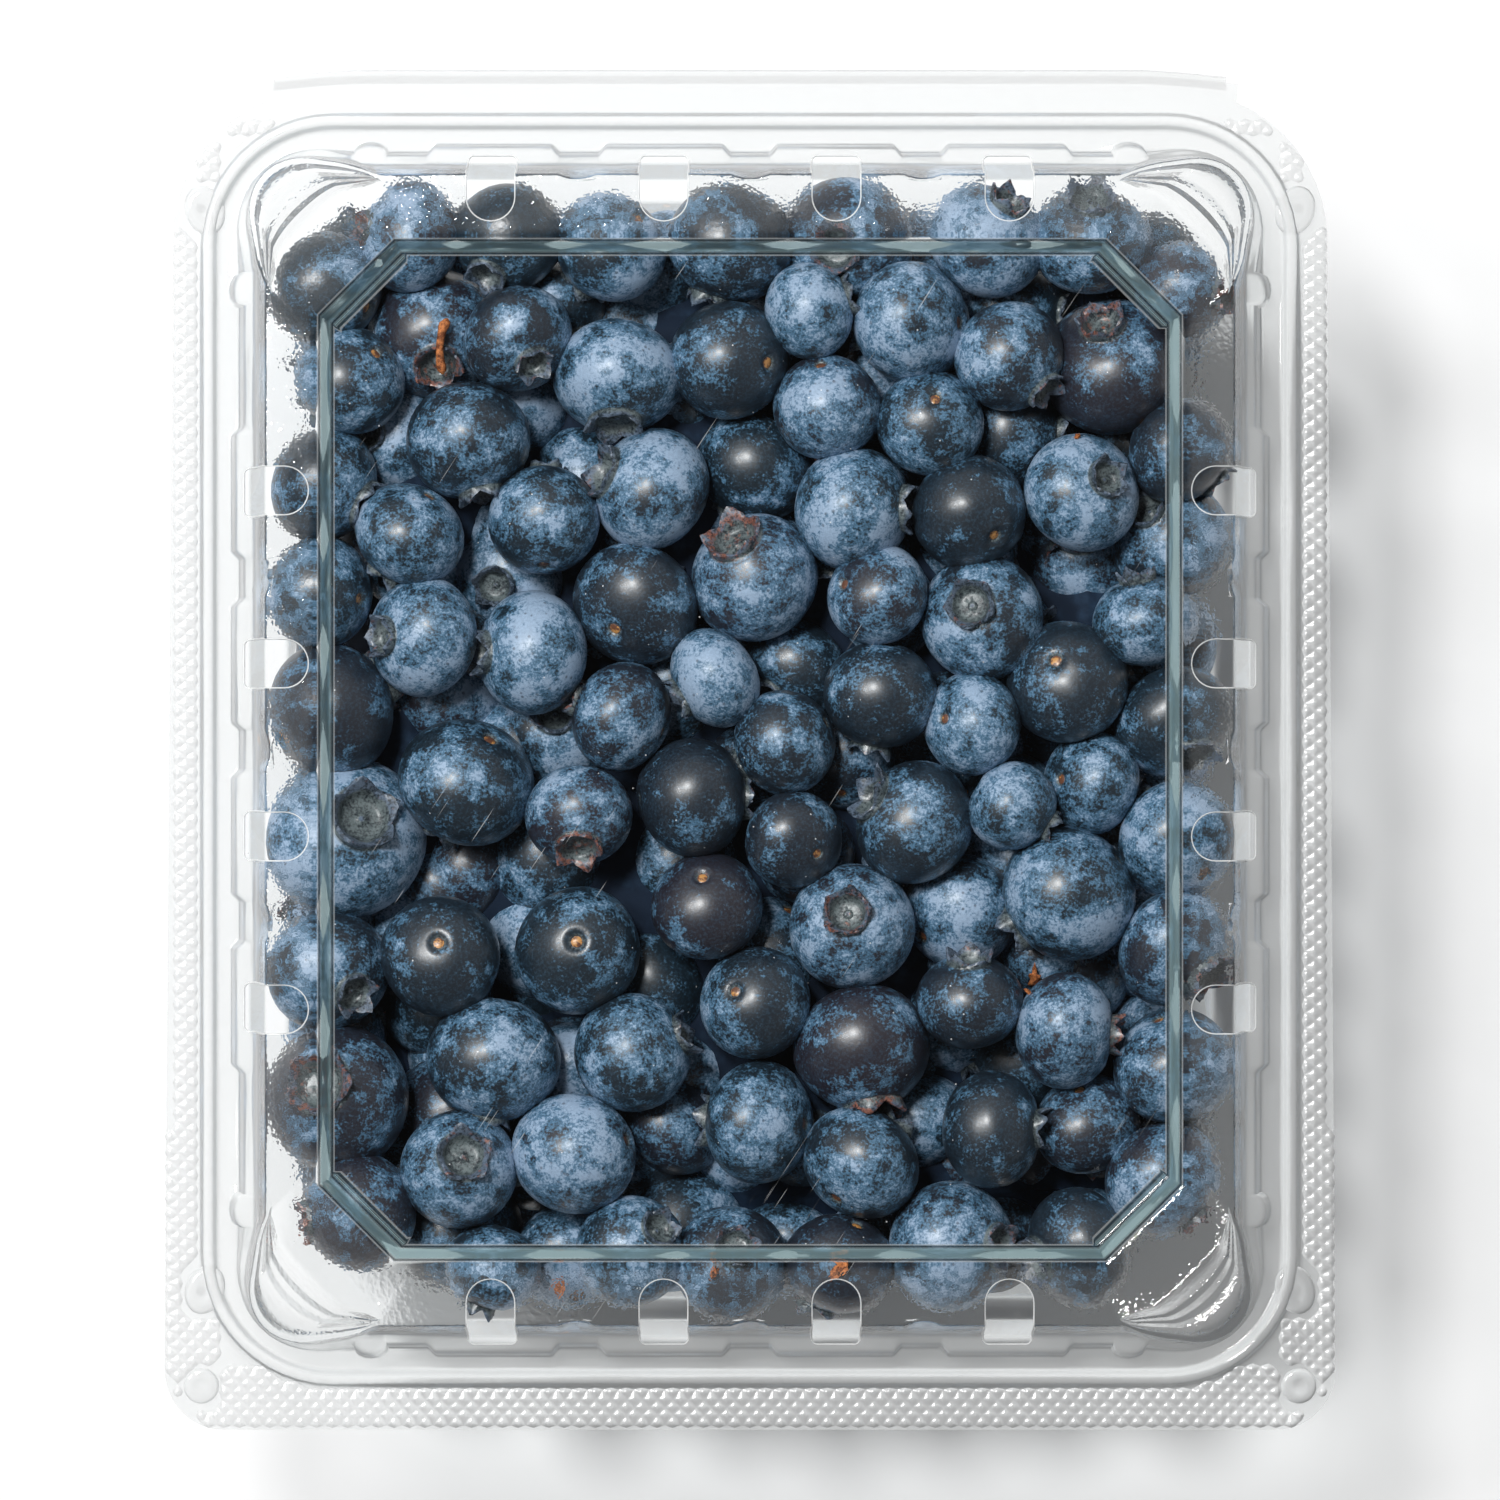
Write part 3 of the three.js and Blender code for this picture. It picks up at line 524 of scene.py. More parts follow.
# %% Leading berries
# x, y and diameter, then where the crown points: its bearing from +X and its lift above level, in
# degrees, with a negative lift where the stem's scar shows. Last, the bloom that is left, and the tone.
LEADING_BERRIES = [
    (-44, -12, 17.3, 45, 64, 0.95, 0.1), (-21.6, 10.8, 13, 180, 20, 0.9, 0.0),
    (-0.4, 19.4, 13.9, 120, 42, 0.75, 0.9), (10.1, 26, 13.4, 0, 15, 0.8, 0.1),
    (22.1, 27.4, 12.3, 135, -48, 0.15, 0.2), (25.2, 14.7, 13, 135, 70, 0.65, 0.3),
    (36.1, 27.1, 12.8, 30, 55, 0.85, 0.1), (-11.2, 27.6, 12.8, 160, 20, 0.75, 0.3),
    (-30.5, 33.9, 13.4, -75, 12, 0.5, 0.2), (-22.5, 24.9, 11.8, None, None, 0.5, 0.1),
    (-11.7, 16.3, 13.4, 50, -48, 0.2, 0.3), (-31.6, -3.5, 15, -120, -30, 0.45, 0.1),
    (-18.7, -7.3, 11.2, -90, 45, 0.55, 1.0), (-6.3, -4.6, 12.6, 0, -5, 0.1, 0.3),
    (14.6, 6.7, 12.3, -100, -10, 0.2, 0.2), (-2.9, 6.7, 10.7, -150, 5, 1.0, 0.1),
    (4.9, -8.4, 10.7, 150, -50, 0.2, 0.4), (18.4, -8.4, 13.4, 150, 20, 0.35, 0.2),
    (10.9, -18.6, 13.4, 110, 74, 0.8, 0.7), (-18.2, -21.8, 13.4, -90, -80, 0.3, 0.1),
    (-33.4, -22.4, 12.8, -90, -73, 0.15, 0.2), (-4.7, -16.4, 11.8, -80, -50, 0.2, 0.9),
    (0.6, -26.7, 11.8, -35, -60, 0.4, 0.2), (28.6, -4.6, 9.6, -30, 0, 0.8, 0.1),
    (36.7, -14.3, 14.4, -145, -10, 0.7, 0.1), (23.2, -27.2, 11.8, 90, 20, 0.15, 0.4),
    (34, -31, 12.3, -5, 3, 0.75, 0.9), (13.5, -33.1, 14.4, -80, 10, 0.25, 1.0),
    (-26.8, -34.7, 13.9, -100, 0, 0.55, 0.2), (-13.1, -33.6, 12.8, 20, 10, 0.65, 0.1),
    (1.7, -40.6, 13.4, 180, -20, 0.5, 0.1), (27.3, -40.6, 12.3, 0, 10, 0.1, 0.2),
    (-31.1, -47.1, 12.8, 70, 72, 0.7, 0.4), (19.1, -52.5, 13.9, 0, 35, 0.7, 0.5),
    (-12.8, -53, 11.8, None, None, 0.6, 0.1), (35, 5.6, 12.8, -60, -60, 0.15, 0.2),
    (42, 14.7, 11.2, 100, 10, 0.7, 0.1), (9.6, 47, 10.2, 20, 5, 0.9, 0.1),
    (-2, 40.5, 12.8, 175, -45, 0.2, 0.2), (30.2, 41.6, 11.8, -45, 20, 0.5, 0.4),
    (19.8, 36.8, 11.8, -100, -60, 0.45, 0.1), (27, 55, 12.8, 61, 31, 0.85, 0.5),
    (-17.1, 53.4, 12.3, None, None, 0.7, 0.1), (-37.5, 54, 11.8, 170, 15, 0.55, 0.9),
    (45.5, 48.6, 10.7, -10, 25, 0.5, 0.9), (-40.7, 22.8, 11.8, -120, -20, 0.6, 0.1),
    (-35.4, 12.6, 12.3, 180, 35, 0.75, 0.2), (-42.9, 40.5, 11.8, None, None, 0.6, 0.2),
    (-45, -48.8, 12.7, 190, 12, 0.35, 0.9), (45, -45.6, 12.4, -50, 5, 0.6, 0.8),
    (36.5, -52.5, 12.8, None, None, 0.15, 0.2), (-28.6, -55.6, 10.6, None, None, 0.7, 0.2),
]


# %% Room in the pack
def seeded_draws(seed):
    """Evenly spread numbers from 0 to 1, the same on every run."""
    state = seed

    def draw():
        nonlocal state
        state = (state * 16807) % 2147483647
        return state / 2147483647
    return draw


def rise(z, low, high):
    return min(max((z - low) / (high - low), 0), 1)


def room(z):
    """Half the room inside the pack at a height."""
    slope = WALL_WIDENS * rise(z, RIM_Z, LEDGE_Z) + LEDGE_WIDENS * rise(z, LEDGE_Z, FLANGE_Z)
    widening = slope - LID_NARROWS * rise(z, FLANGE_Z, SHOULDER_Z)
    return HEAP_HALF_X + widening - HEAP_CLEARANCE, HEAP_HALF_Y + widening - HEAP_CLEARANCE


def heap_top(x, y):
    """The heap is level in the middle and lower towards the sides."""
    room_x, room_y = room(FLANGE_Z)
    edge = min(room_x - abs(x), room_y - abs(y))
    fall = min(max(1 - edge / EDGE_WIDTH, 0), 1)
    return HEAP_CEILING - EDGE_FALL * fall * fall


def confine(berry):
    """Keeps a berry inside the pack and below the heap's surface."""
    room_x, room_y = room(berry[2])
    radius = berry[3]
    reach_x, reach_y = room_x - radius, room_y - radius
    berry[0] = min(max(berry[0], -reach_x), reach_x)
    berry[1] = min(max(berry[1], -reach_y), reach_y)
    corner = FRONT_CORNER if berry[1] < 0 else BACK_CORNER
    corner_x = abs(berry[0]) - (room_x - corner)
    corner_y = abs(berry[1]) - (room_y - corner)
    allowed = corner - radius
    distance = math.sqrt(corner_x * corner_x + corner_y * corner_y)
    if corner_x > 0 and corner_y > 0 and distance > allowed:
        pull = (distance - allowed) / distance
        berry[0] -= math.copysign(1, berry[0]) * corner_x * pull
        berry[1] -= math.copysign(1, berry[1]) * corner_y * pull
    berry[2] = max(min(berry[2], heap_top(berry[0], berry[1]) - radius), HEAP_FLOOR + radius)


# %% Scattering and parting
def scatter(berries, layer, draw, place_of):
    """Adds berries of drawn sizes wherever they don't crowd the ones of their own layer."""
    for _ in range(TRIES[layer]):
        radius = SMALLEST + (SPREAD * (draw() + draw())) / 2
        berry = [*place_of(radius), radius, layer, False]
        confine(berry)
        crowded = False
        for other in berries:
            if other[4] == layer:
                dx, dy, dz = berry[0] - other[0], berry[1] - other[1], berry[2] - other[2]
                near = (radius + other[3]) * CROWDING
                if dx * dx + dy * dy + dz * dz < near * near:
                    crowded = True
                    break
        if not crowded:
            berries.append(berry)


def part_berries(berries):
    """Moves every two berries apart, each half of the way, if they press too far into each other."""
    for i, first in enumerate(berries):
        for second in berries[i + 1:]:
            dx, dy, dz = second[0] - first[0], second[1] - first[1], second[2] - first[2]
            near = (first[3] + second[3]) * OVERLAP
            square = dx * dx + dy * dy + dz * dz
            if 0 < square < near * near:
                distance = math.sqrt(square)
                push = (0.5 * (near - distance)) / distance
                first[0] -= dx * push
                first[1] -= dy * push
                first[2] -= dz * push
                second[0] += dx * push
                second[1] += dy * push
                second[2] += dz * push


# %% Packing
def pack_berries():
    """All the fruit that shows, as lists of x, y, z, radius, layer and whether it is drawn home."""
    draw = seeded_draws(HEAP_SEED)
    berries = []
    for x, y, size, *_ in LEADING_BERRIES:
        radius = size / 2
        berries.append([x, y, heap_top(x, y) - radius, radius, "top", True])
        confine(berries[-1])

    def anywhere(height):
        def place(radius):
            x = (2 * draw() - 1) * REACH_X
            y = (2 * draw() - 1) * REACH_Y
            return x, y, height(x, y, radius)
        return place

    scatter(berries, "top", draw, anywhere(lambda x, y, radius: heap_top(x, y) - radius))
    scatter(berries, "under", draw, anywhere(lambda x, y, radius: heap_top(x, y) - LAYER_DEPTH - radius))
    scatter(berries, "floor", draw, anywhere(lambda x, y, radius: HEAP_FLOOR + radius))
    for height in WALL_HEIGHTS:
        def by_wall(radius):
            side = math.floor(4 * draw())
            along = WALL_REACH * (2 * draw() - 1)
            z = height + 5 * (draw() - 0.5)
            places = [(along, -WALL_REACH), (WALL_REACH, along), (along, WALL_REACH), (-WALL_REACH, along)]
            return *places[side], z
        scatter(berries, "wall", draw, by_wall)
    homes = [(berry[0], berry[1]) for berry in berries]
    climb = {"top": DRIFT, "under": DRIFT / 2, "floor": -DRIFT, "wall": 0}
    for _ in range(ROUNDS):
        for berry, home in zip(berries, homes):
            berry[2] += climb[berry[4]]
            if berry[4] == "wall":
                berry[0] *= SPREADING
                berry[1] *= SPREADING
            if berry[5]:
                berry[0] += (home[0] - berry[0]) * HOMING
                berry[1] += (home[1] - berry[1]) * HOMING
        part_berries(berries)
        for berry in berries:
            confine(berry)
    return berries


heap = pack_berries()
shown = sum(berry[4] == "top" for berry in heap)

# Deeper fruit, seen only through the gaps: a layer of loose rows under the uppermost berries.
DEEP_PITCH, DEEP_Z, DEEP_HALF, DEEP_WANDER = 11.0, 34.5, 41, 1.3
chance = np.random.default_rng(5)
for row in range(-4, 5):
    for column in range(-3, 4):
        middle = ((column + 0.5 * (row % 2)) * DEEP_PITCH * 1.08, row * DEEP_PITCH, DEEP_Z)
        x, y, z = chance.normal(size=3) * DEEP_WANDER + middle
        if abs(x) < DEEP_HALF:
            heap.append([x, y, z, 6.2 + 0.6 * chance.random(), "deep", False])
print("berries:", len(heap), "of which uppermost:", shown)

# %% [markdown]
# ## One berry
# A blueberry is a ball pressed a little flat. At one pole is the crown, five pointed lobes round a
# shallow bowl, left by the flower. At the other is a small dimple with the scar of the stem. A plain
# ball has no rows of faces where these stand, so a berry is drawn in rings too. Five forms differ in
# the lobes, and each copy is then stretched and dented a little in its own way.

# %% Berry forms
AROUND, LOBES, RAGGED_ROWS = 40, 5, 8
FORMS = 5
CROWN_SIZES = [0.98, 0.82, 1.04, 0.9, 0.86]
SKIN_PART, BOWL_PART, LOBE_PART, SCAR_PART = 0.0, 0.40, 0.5, 1.0
SKIN_ANGLES = np.radians(np.linspace(33, 165, 15))

# The crown from the middle of its bowl outwards, on a berry of radius 1: how far out and how high a
# ring stands, how far a lobe flares and lifts there, and which part it belongs to.
CROWN_STEPS = [
    (0.025, -0.13, 0, 0, LOBE_PART), (0.06, -0.135, 0, 0, BOWL_PART), (0.09, -0.175, 0, 0, BOWL_PART),
    (0.21, -0.175, 0, 0, BOWL_PART), (0.27, -0.150, 0, 0, BOWL_PART), (0.300, -0.095, 0, 0.03, BOWL_PART),
    (0.328, -0.05, 0.02, 0.09, LOBE_PART), (0.358, -0.018, 0.075, 0.155, LOBE_PART),
    (0.382, -0.028, 0.088, 0.145, LOBE_PART), (0.398, -0.063, 0.05, 0.07, 0.45),
    (0.418, -0.085, 0.0, 0.0, 0.3), (0.475, -0.104, 0.0, 0.0, 0.05),
]
LOBE_STEPS = range(6, 10)
# The other pole, from the skin into the scar: how far out and how low, and the part.
SCAR_STEPS = [(0.17, 0.968, 0.05), (0.125, 0.94, 0.2), (0.095, 0.905, 0.45), (0.08, 0.915, SCAR_PART),
              (0.03, 0.925, SCAR_PART)]


def berry_rings(chance, flat, crown):
    """Rings of points of a berry of radius 1, from the crown's bowl to the stem's scar."""
    lobe_size = [0.55 + 0.75 * chance.random() for _ in range(LOBES)]
    lobe_flare = [0.6 + 0.8 * chance.random() for _ in range(LOBES)]
    turns = np.arange(AROUND) / AROUND
    lobe = (turns * LOBES).astype(int) % LOBES
    from_middle = np.abs(turns * LOBES % 1 - 0.5) * 2
    point = np.clip(1 - from_middle, 0, 1)
    tall = point * np.array(lobe_size)[lobe]
    wide = point * np.array(lobe_flare)[lobe]
    ragged = (chance.random((RAGGED_ROWS, AROUND)) - 0.5) * 0.03
    rings = []
    for i, (reach, height, flare, lift, part) in enumerate(CROWN_STEPS):
        rough = ragged[i % RAGGED_ROWS] * (1 if i in LOBE_STEPS else 0.15)
        away = (reach + flare * wide) * crown + rough
        z = flat + height + lift * tall + rough
        rings.append((away, z, part))
    for angle in SKIN_ANGLES:
        rings.append((math.sin(angle), flat * math.cos(angle), SKIN_PART))
    for reach, height, part in SCAR_STEPS:
        rings.append((reach * (1 + ragged[3] * 4), -flat * height, part))
    circle = np.stack([np.cos(turns * math.tau), np.sin(turns * math.tau)], axis=1)
    points, parts = [], []
    for away, z, part in rings:
        flatwise = circle * np.reshape(away * np.ones(AROUND), (AROUND, 1))
        points.append(np.column_stack([flatwise, z * np.ones(AROUND)]))
        parts.append(part)
    return points, parts


def berry_form(number):
    chance = np.random.default_rng(40 + number)
    points, parts = berry_rings(chance, flat=0.84 + 0.03 * number, crown=CROWN_SIZES[number])
    form = drawn_in_rings(f"berry_form_{number}", points, close=True)
    apply_modifier(form, "TRIANGULATE")
    look = form.data.attributes.new("look", "FLOAT_COLOR", "POINT")
    co = np.array([vertex.co for vertex in form.data.vertices]) / MM
    every = np.concatenate(points)
    nearest = [np.argmin(((every - place) ** 2).sum(axis=1)) // AROUND for place in co]
    red = np.array([parts[ring] for ring in nearest])
    look.data.foreach_set("color", np.column_stack([red, red * 0, red * 0, red * 0 + 1]).ravel())
    return form, co, red

# %% [markdown]
# Each copy is turned so that its crown points the right way, and dented by three slow waves. Copies
# that share one mesh would be lighter, but then all of one form would be dented alike. Berries that
# lost their bloom are a little wrinkled too.

# %% All the berries
GROWTH, STRETCH = 1.02, 0.05
SLOW_WAVE, DENT, QUICK_WAVE, WRINKLE, LITTLE_BLOOM = 1.5, 0.016, 5, 0.006, 0.2


def pointing(bearing, lift, spin):
    """The turn that points a berry's crown to a bearing and a lift, in degrees."""
    bearing, lift = math.radians(bearing), math.radians(lift)
    level_reach = math.cos(lift)
    direction = Vector((math.cos(bearing) * level_reach, math.sin(bearing) * level_reach, math.sin(lift)))
    return np.array(direction.to_track_quat("Z", "Y").to_matrix() @ Matrix.Rotation(spin, 3, "Z"))


def berry_copy(form, co, red, berry, looks, chance):
    x, y, z, radius = berry[:4]
    bearing, lift, bloom, tone = looks
    shape = co * (GROWTH + STRETCH * (chance.random(3) - 0.5))
    for _ in range(3):
        wave = chance.normal(size=3) * SLOW_WAVE
        push = np.sin(shape @ wave + chance.random() * math.tau) * DENT
        shape = shape * (1 + push[:, None])
    if bloom < LITTLE_BLOOM:
        for _ in range(2):
            wave = chance.normal(size=3) * QUICK_WAVE
            shape = shape * (1 + (np.sin(shape @ wave) * WRINKLE)[:, None])
    turned = shape @ pointing(bearing, lift, chance.random() * math.tau).T
    copy = bpy.data.objects.new("berry", form.data.copy())
    bpy.context.scene.collection.objects.link(copy)
    copy.data.vertices.foreach_set("co", ((turned * radius + (x, y, z)) * MM).ravel().astype(np.float32))
    colours = np.column_stack([red, np.full(len(red), tone), np.full(len(red), bloom), np.ones(len(red))])
    copy.data.attributes["look"].data.foreach_set("color", colours.ravel().astype(np.float32))
    return copy


chance = np.random.default_rng(7)
forms = [berry_form(number) for number in range(FORMS)]
copies = [[] for _ in forms]
for i, berry in enumerate(heap):
    looks = list(LEADING_BERRIES[i][3:]) if i < len(LEADING_BERRIES) else [None, None, None, None]
    draws = [chance.random() * 360, math.degrees(math.asin(1.75 * chance.random() - 0.75)),
             0.15 + 0.75 * chance.random(), chance.random() ** 2]
    looks = [drawn if given is None else given for given, drawn in zip(looks, draws)]
    copies[i % FORMS].append(berry_copy(*forms[i % FORMS], berry, looks, chance))
for number, berries in enumerate(copies):
    piece = joined(f"berries_{number + 1}", berries)
    dressed(piece, BERRY_SKIN, "tub", replaces="berries", angle=50)
for form, _, _ in forms:
    bpy.data.objects.remove(form)

# %% [markdown]
# ## The heart of the heap
# Under the upper layers of fruit nothing can be told apart: there is only dark blue in the gaps.
# More whole berries would cost many faces that no one sees, so one dark lumpy block fills the middle
# and keeps light from shining through the gaps. Its colour is painted shade, darker than a berry's bloom.

# %% The heart of the heap
CORE_SIZE = (84, 102, 30)
CORE_Z, CORE_ROUNDING = 24, 6

bpy.ops.object.select_all(action="DESELECT")
bpy.ops.mesh.primitive_cube_add(size=1)
core = bpy.context.object
core.name = "heap_core"
bpy.ops.object.mode_set(mode="EDIT")
bpy.ops.transform.resize(value=[length * MM for length in CORE_SIZE])
bpy.ops.transform.translate(value=(0, 0, CORE_Z * MM))
bpy.ops.mesh.bevel(offset=CORE_ROUNDING * MM, segments=3)
bpy.ops.mesh.subdivide(number_cuts=12, fractal=1.5, fractal_along_normal=1, seed=3)
bpy.ops.object.mode_set(mode="OBJECT")
dressed(core, SHADED_DEEP_FRUIT, "tub", replaces="berries")

# %% [markdown]
# ## Dry bits
# Picked fruit brings a few bits of its bush along: one small stem stands between two berries, and
# some husks lie in the gaps. A ray from above finds the fruit under each, so that it rests there and
# doesn't hang in the air. A husk is a ball squeezed flat and crumpled by waves.

# %% Dry bits
# x, y and half the length of each husk.
HUSKS = [(30.7, -24.6, 1.25), (29.9, -26.0, 0.8), (-20.6, -57.4, 0.9), (-3.9, -55.9, 1.0),
         (9.6, -55.4, 1.0), (35.0, 33.5, 0.7)]
HUSK_SHAPE, HUSK_WAVE, CRUMPLE = (1.0, 0.55, 0.3), 3.5, 0.22
HUSK_CEILING, STEM_CEILING, LOWEST_FRUIT = 52.4, 52.2, 30
STEM_FOOT, STEM_MIDDLE, STEM_TIP = (-32.9, 40.2), (-32.9, 43.2), (-32.5, 46.2)
STEM_RADII = [0.1, 0.5, 0.55, 0.5, 0.45, 0.42, 0.4, 0.4, 0.42, 0.42, 0.45, 0.5, 0.62, 0.6, 0.15]
fruit_pieces = [bpy.data.objects[f"berries_{number + 1}"] for number in range(FORMS)]


def top_of_fruit(x, y):
    """The height of the fruit at a place, in millimetres."""
    hits = [piece.ray_cast((x * MM, y * MM, 0.1), (0, 0, -1)) for piece in fruit_pieces]
    return max([spot.z / MM for hit, spot, _, _ in hits if hit] + [LOWEST_FRUIT])


chance = np.random.default_rng(12)
bits = []
for x, y, size in HUSKS:
    bpy.ops.object.select_all(action="DESELECT")
    bpy.ops.mesh.primitive_ico_sphere_add(subdivisions=3, radius=1)
    husk = bpy.context.object
    co = np.array([vertex.co for vertex in husk.data.vertices])
    for _ in range(4):
        wave = chance.normal(size=3) * HUSK_WAVE
        co *= 1 + np.sin(co @ wave + chance.random() * 6)[:, None] * CRUMPLE
    turn = np.array(Euler(chance.random(3) * 6).to_matrix())
    z = min(top_of_fruit(x, y) + size * 0.3, HUSK_CEILING)
    co = (co * HUSK_SHAPE) @ turn.T * size + (x, y, z)
    husk.data.vertices.foreach_set("co", (co * MM).ravel().astype(np.float32))
    bits.append(husk)
stem_z = max(top_of_fruit(*place) for place in (STEM_FOOT, STEM_MIDDLE, STEM_TIP))
turns = np.linspace(0, math.tau, 13)[:-1]
stem_rings = []
for share, radius in zip(np.linspace(0, 1, len(STEM_RADII)), STEM_RADII):
    x = STEM_FOOT[0] + (STEM_TIP[0] - STEM_FOOT[0]) * share - 0.5 * math.sin(share * math.pi)
    y = STEM_FOOT[1] + (STEM_TIP[1] - STEM_FOOT[1]) * share
    z = min(stem_z + 0.2 + 0.5 * math.sin(share * 2.2), STEM_CEILING)
    stem_rings.append([(x + radius * math.cos(a), y, z + radius * math.sin(a)) for a in turns])
stem = drawn_in_rings("stem", stem_rings, close=True)
bits.append(stem)
dry_bits = joined("dry_bits", bits)
dressed(dry_bits, DRY_HUSK, "tub", replaces="berries", angle=60)

# %% [markdown]
# ## The outline of the sheet
# Every level of the pack is a rectangle with rounded corners. At each vent the wall steps out in a
# bay, near the ends of each side is a small half-round bump that keeps stacked packs from sticking
# together, and midway between the vents the shoulder has a small nick. One function draws them all,
# with the same number of points each time.

# %% Outlines
CORNER_STEPS = 12
VENT_PLACES = [-27.6, -9.2, 9.2, 27.6]
MIDWAYS = [-18.4, 0.0, 18.4]
VENT_WIDTH, VENT_ROUNDING = 5.3, 0.7
BAY_HALF, BAY_SLANT = 7.2, 1.1
BUMP_HALF, NICK_HALF = 1.8, 2.05
BUMPS_ALONG_X, BUMPS_ALONG_Y = 40.8, 49.5
LUG_CENTRE, LUG_HALF, LUG_SWELL = (44.4, 54.2), 11.4, 2.8


# %% Along a side
def side_places(bumps):
    """The places along a side that its bays, bumps and nicks need."""
    slants = [BAY_HALF - BAY_SLANT * step for step in (0, 0.25, 0.5, 0.75, 1)]
    rounds = [math.sin(turn) for turn in np.radians([-90, -70, -50, -25, 0, 25, 50, 70, 90])]
    places = {middle + sign * slant for middle in VENT_PLACES for sign in (-1, 1) for slant in slants}
    for half, middles in ((BUMP_HALF, (-bumps, bumps)), (NICK_HALF, MIDWAYS)):
        places.update(middle + half * turn for middle in middles for turn in rounds)
    return sorted(places)


def side_shift(place, bumps, ring):
    """How far the wall stands out at a place along a side."""
    shift = 0.0
    for middle in VENT_PLACES:
        inside = min(max((BAY_HALF - abs(place - middle)) / BAY_SLANT, 0), 1)
        shift += ring["bay"] * inside * inside * (3 - 2 * inside)
    for middle in (-bumps, bumps):
        shift += ring["bump"] * math.sqrt(max(1 - ((place - middle) / BUMP_HALF) ** 2, 0))
    for middle in MIDWAYS:
        if abs(place - middle) < NICK_HALF:
            shift -= ring["nick"] * max(math.cos((place - middle) / NICK_HALF * math.pi / 2), 0)
    return shift


def crescent(x, y):
    """1 in the middle of each corner's lug, falling to 0 at its ends."""
    across = (abs(x) - LUG_CENTRE[0]) - (abs(y) - LUG_CENTRE[1])
    return math.sqrt(max(1 - (across / LUG_HALF) ** 2, 0))


# %% Levels and their outlines
def level(half_x, half_y, radius, z, **more):
    """A level of the pack that is the same at the front and the back."""
    return {"half_x": half_x, "front": -half_y, "back": half_y, "front_radius": radius, "back_radius": radius,
            "z": z, "cut": 0, "bay": 0, "bump": 0, "nick": 0, "lug": 0, "taper": 0, "bend": 0.5, **more}


def outline(ring):
    """The points of one level, anticlockwise from the front side."""
    half_x, front, back = ring["half_x"], ring["front"], ring["back"]
    near, far = ring["front_radius"], ring["back_radius"]
    quarters = [
        ((0, front), (0, -1), half_x - near, BUMPS_ALONG_X, (half_x - near, front + near, near)),
        ((half_x, 0), (1, 0), back - far, BUMPS_ALONG_Y, (half_x - far, back - far, far)),
        ((0, back), (0, 1), half_x - far, BUMPS_ALONG_X, (far - half_x, back - far, far)),
        ((-half_x, 0), (-1, 0), -front - near, BUMPS_ALONG_Y, (near - half_x, front + near, near)),
    ]
    points = []
    for side, out, reach, bumps, corner in quarters:
        along = (-out[1], out[0])
        squeeze = min(1, reach / (bumps + BUMP_HALF + 0.5))
        for place in side_places(bumps):
            shift = side_shift(place, bumps, ring)
            place *= squeeze
            points.append((side[0] + along[0] * place + out[0] * shift,
                           side[1] + along[1] * place + out[1] * shift))
        for step in range(CORNER_STEPS + 1):
            share = step / CORNER_STEPS
            a, b = math.cos(share * math.pi / 2), math.sin(share * math.pi / 2)
            a += (1 - share - a) * ring["cut"]
            b += (share - b) * ring["cut"]
            points.append((corner[0] + corner[2] * (out[0] * a + along[0] * b),
                           corner[1] + corner[2] * (out[1] * a + along[1] * b)))
    taper, swell = ring["taper"], ring["lug"] * math.sqrt(0.5)
    points = [(x * (1 - taper * (y - front) / (back - front) / half_x), y) for x, y in points]
    swells = [swell * crescent(x, y) for x, y in points]
    return [(x + math.copysign(out, x), y + math.copysign(out, y), ring["z"])
            for (x, y), out in zip(points, swells)]


# %% Rounded bends
def between(first, second, share):
    return {key: first[key] + (second[key] - first[key]) * share for key in first}


def bent(levels, steps=4):
    """The levels with each bend of the profile rounded off, by as much as the bend says."""
    smooth = [levels[0]]
    for before, here, after in zip(levels, levels[1:], levels[2:]):
        reach = []
        for other in (before, after):
            length = math.hypot(other["half_x"] - here["half_x"], other["z"] - here["z"])
            reach.append(min(here["bend"], 0.46 * length) / length)
        start, end = between(here, before, reach[0]), between(here, after, reach[1])
        for step in range(steps + 1):
            share = step / steps
            smooth.append(between(between(start, here, share), between(here, end, share), share))
    return smooth + [levels[-1]]


print("points round each level:", len(outline(level(60, 70, 10, FLANGE_Z))))

# %% [markdown]
# ## The lid
# From the middle outwards: the sunken panel with its cut corners, the shoulder with a crescent lug
# at each corner, the wall with a ledge where the bays start, the channel, the bead that snaps over
# the tub's rim, and the flange. The sheet is drawn as one skin and then given its thickness, because
# two sides drawn apart would drift from each other in every bend. The vents are cut out last.

# %% Levels of the lid
SHEET = 0.35
LID_SKIN = FLANGE_Z + 0.8
BAY, BUMP = 0.9, 1.1
PANEL_FOOT = level(44.9, 53.3, 7.6, PANEL_Z, cut=1, bend=0.8)
PANEL_RIM = level(45.7, 54.1, 8, SHOULDER_Z, cut=1, bend=0.8)
SHOULDER_EDGE = level(51.0, 60.7, 5.8, SHOULDER_Z, lug=LUG_SWELL)
LUG_FOOT = {**PANEL_RIM, "half_x": 46.5, "front": -54.9, "back": 54.9}
# How far from the panel's rim to the shoulder's edge, and how high over the shoulder: three ridges.
LUG_STEPS = [(0.46, 0), (0.50, 0.15), (0.57, 1.05), (0.61, 1.25), (0.66, 0.95), (0.71, 1.3),
             (0.77, 1.0), (0.84, 1.42), (0.90, 1.35), (0.95, 0.75), (0.985, 0.1)]


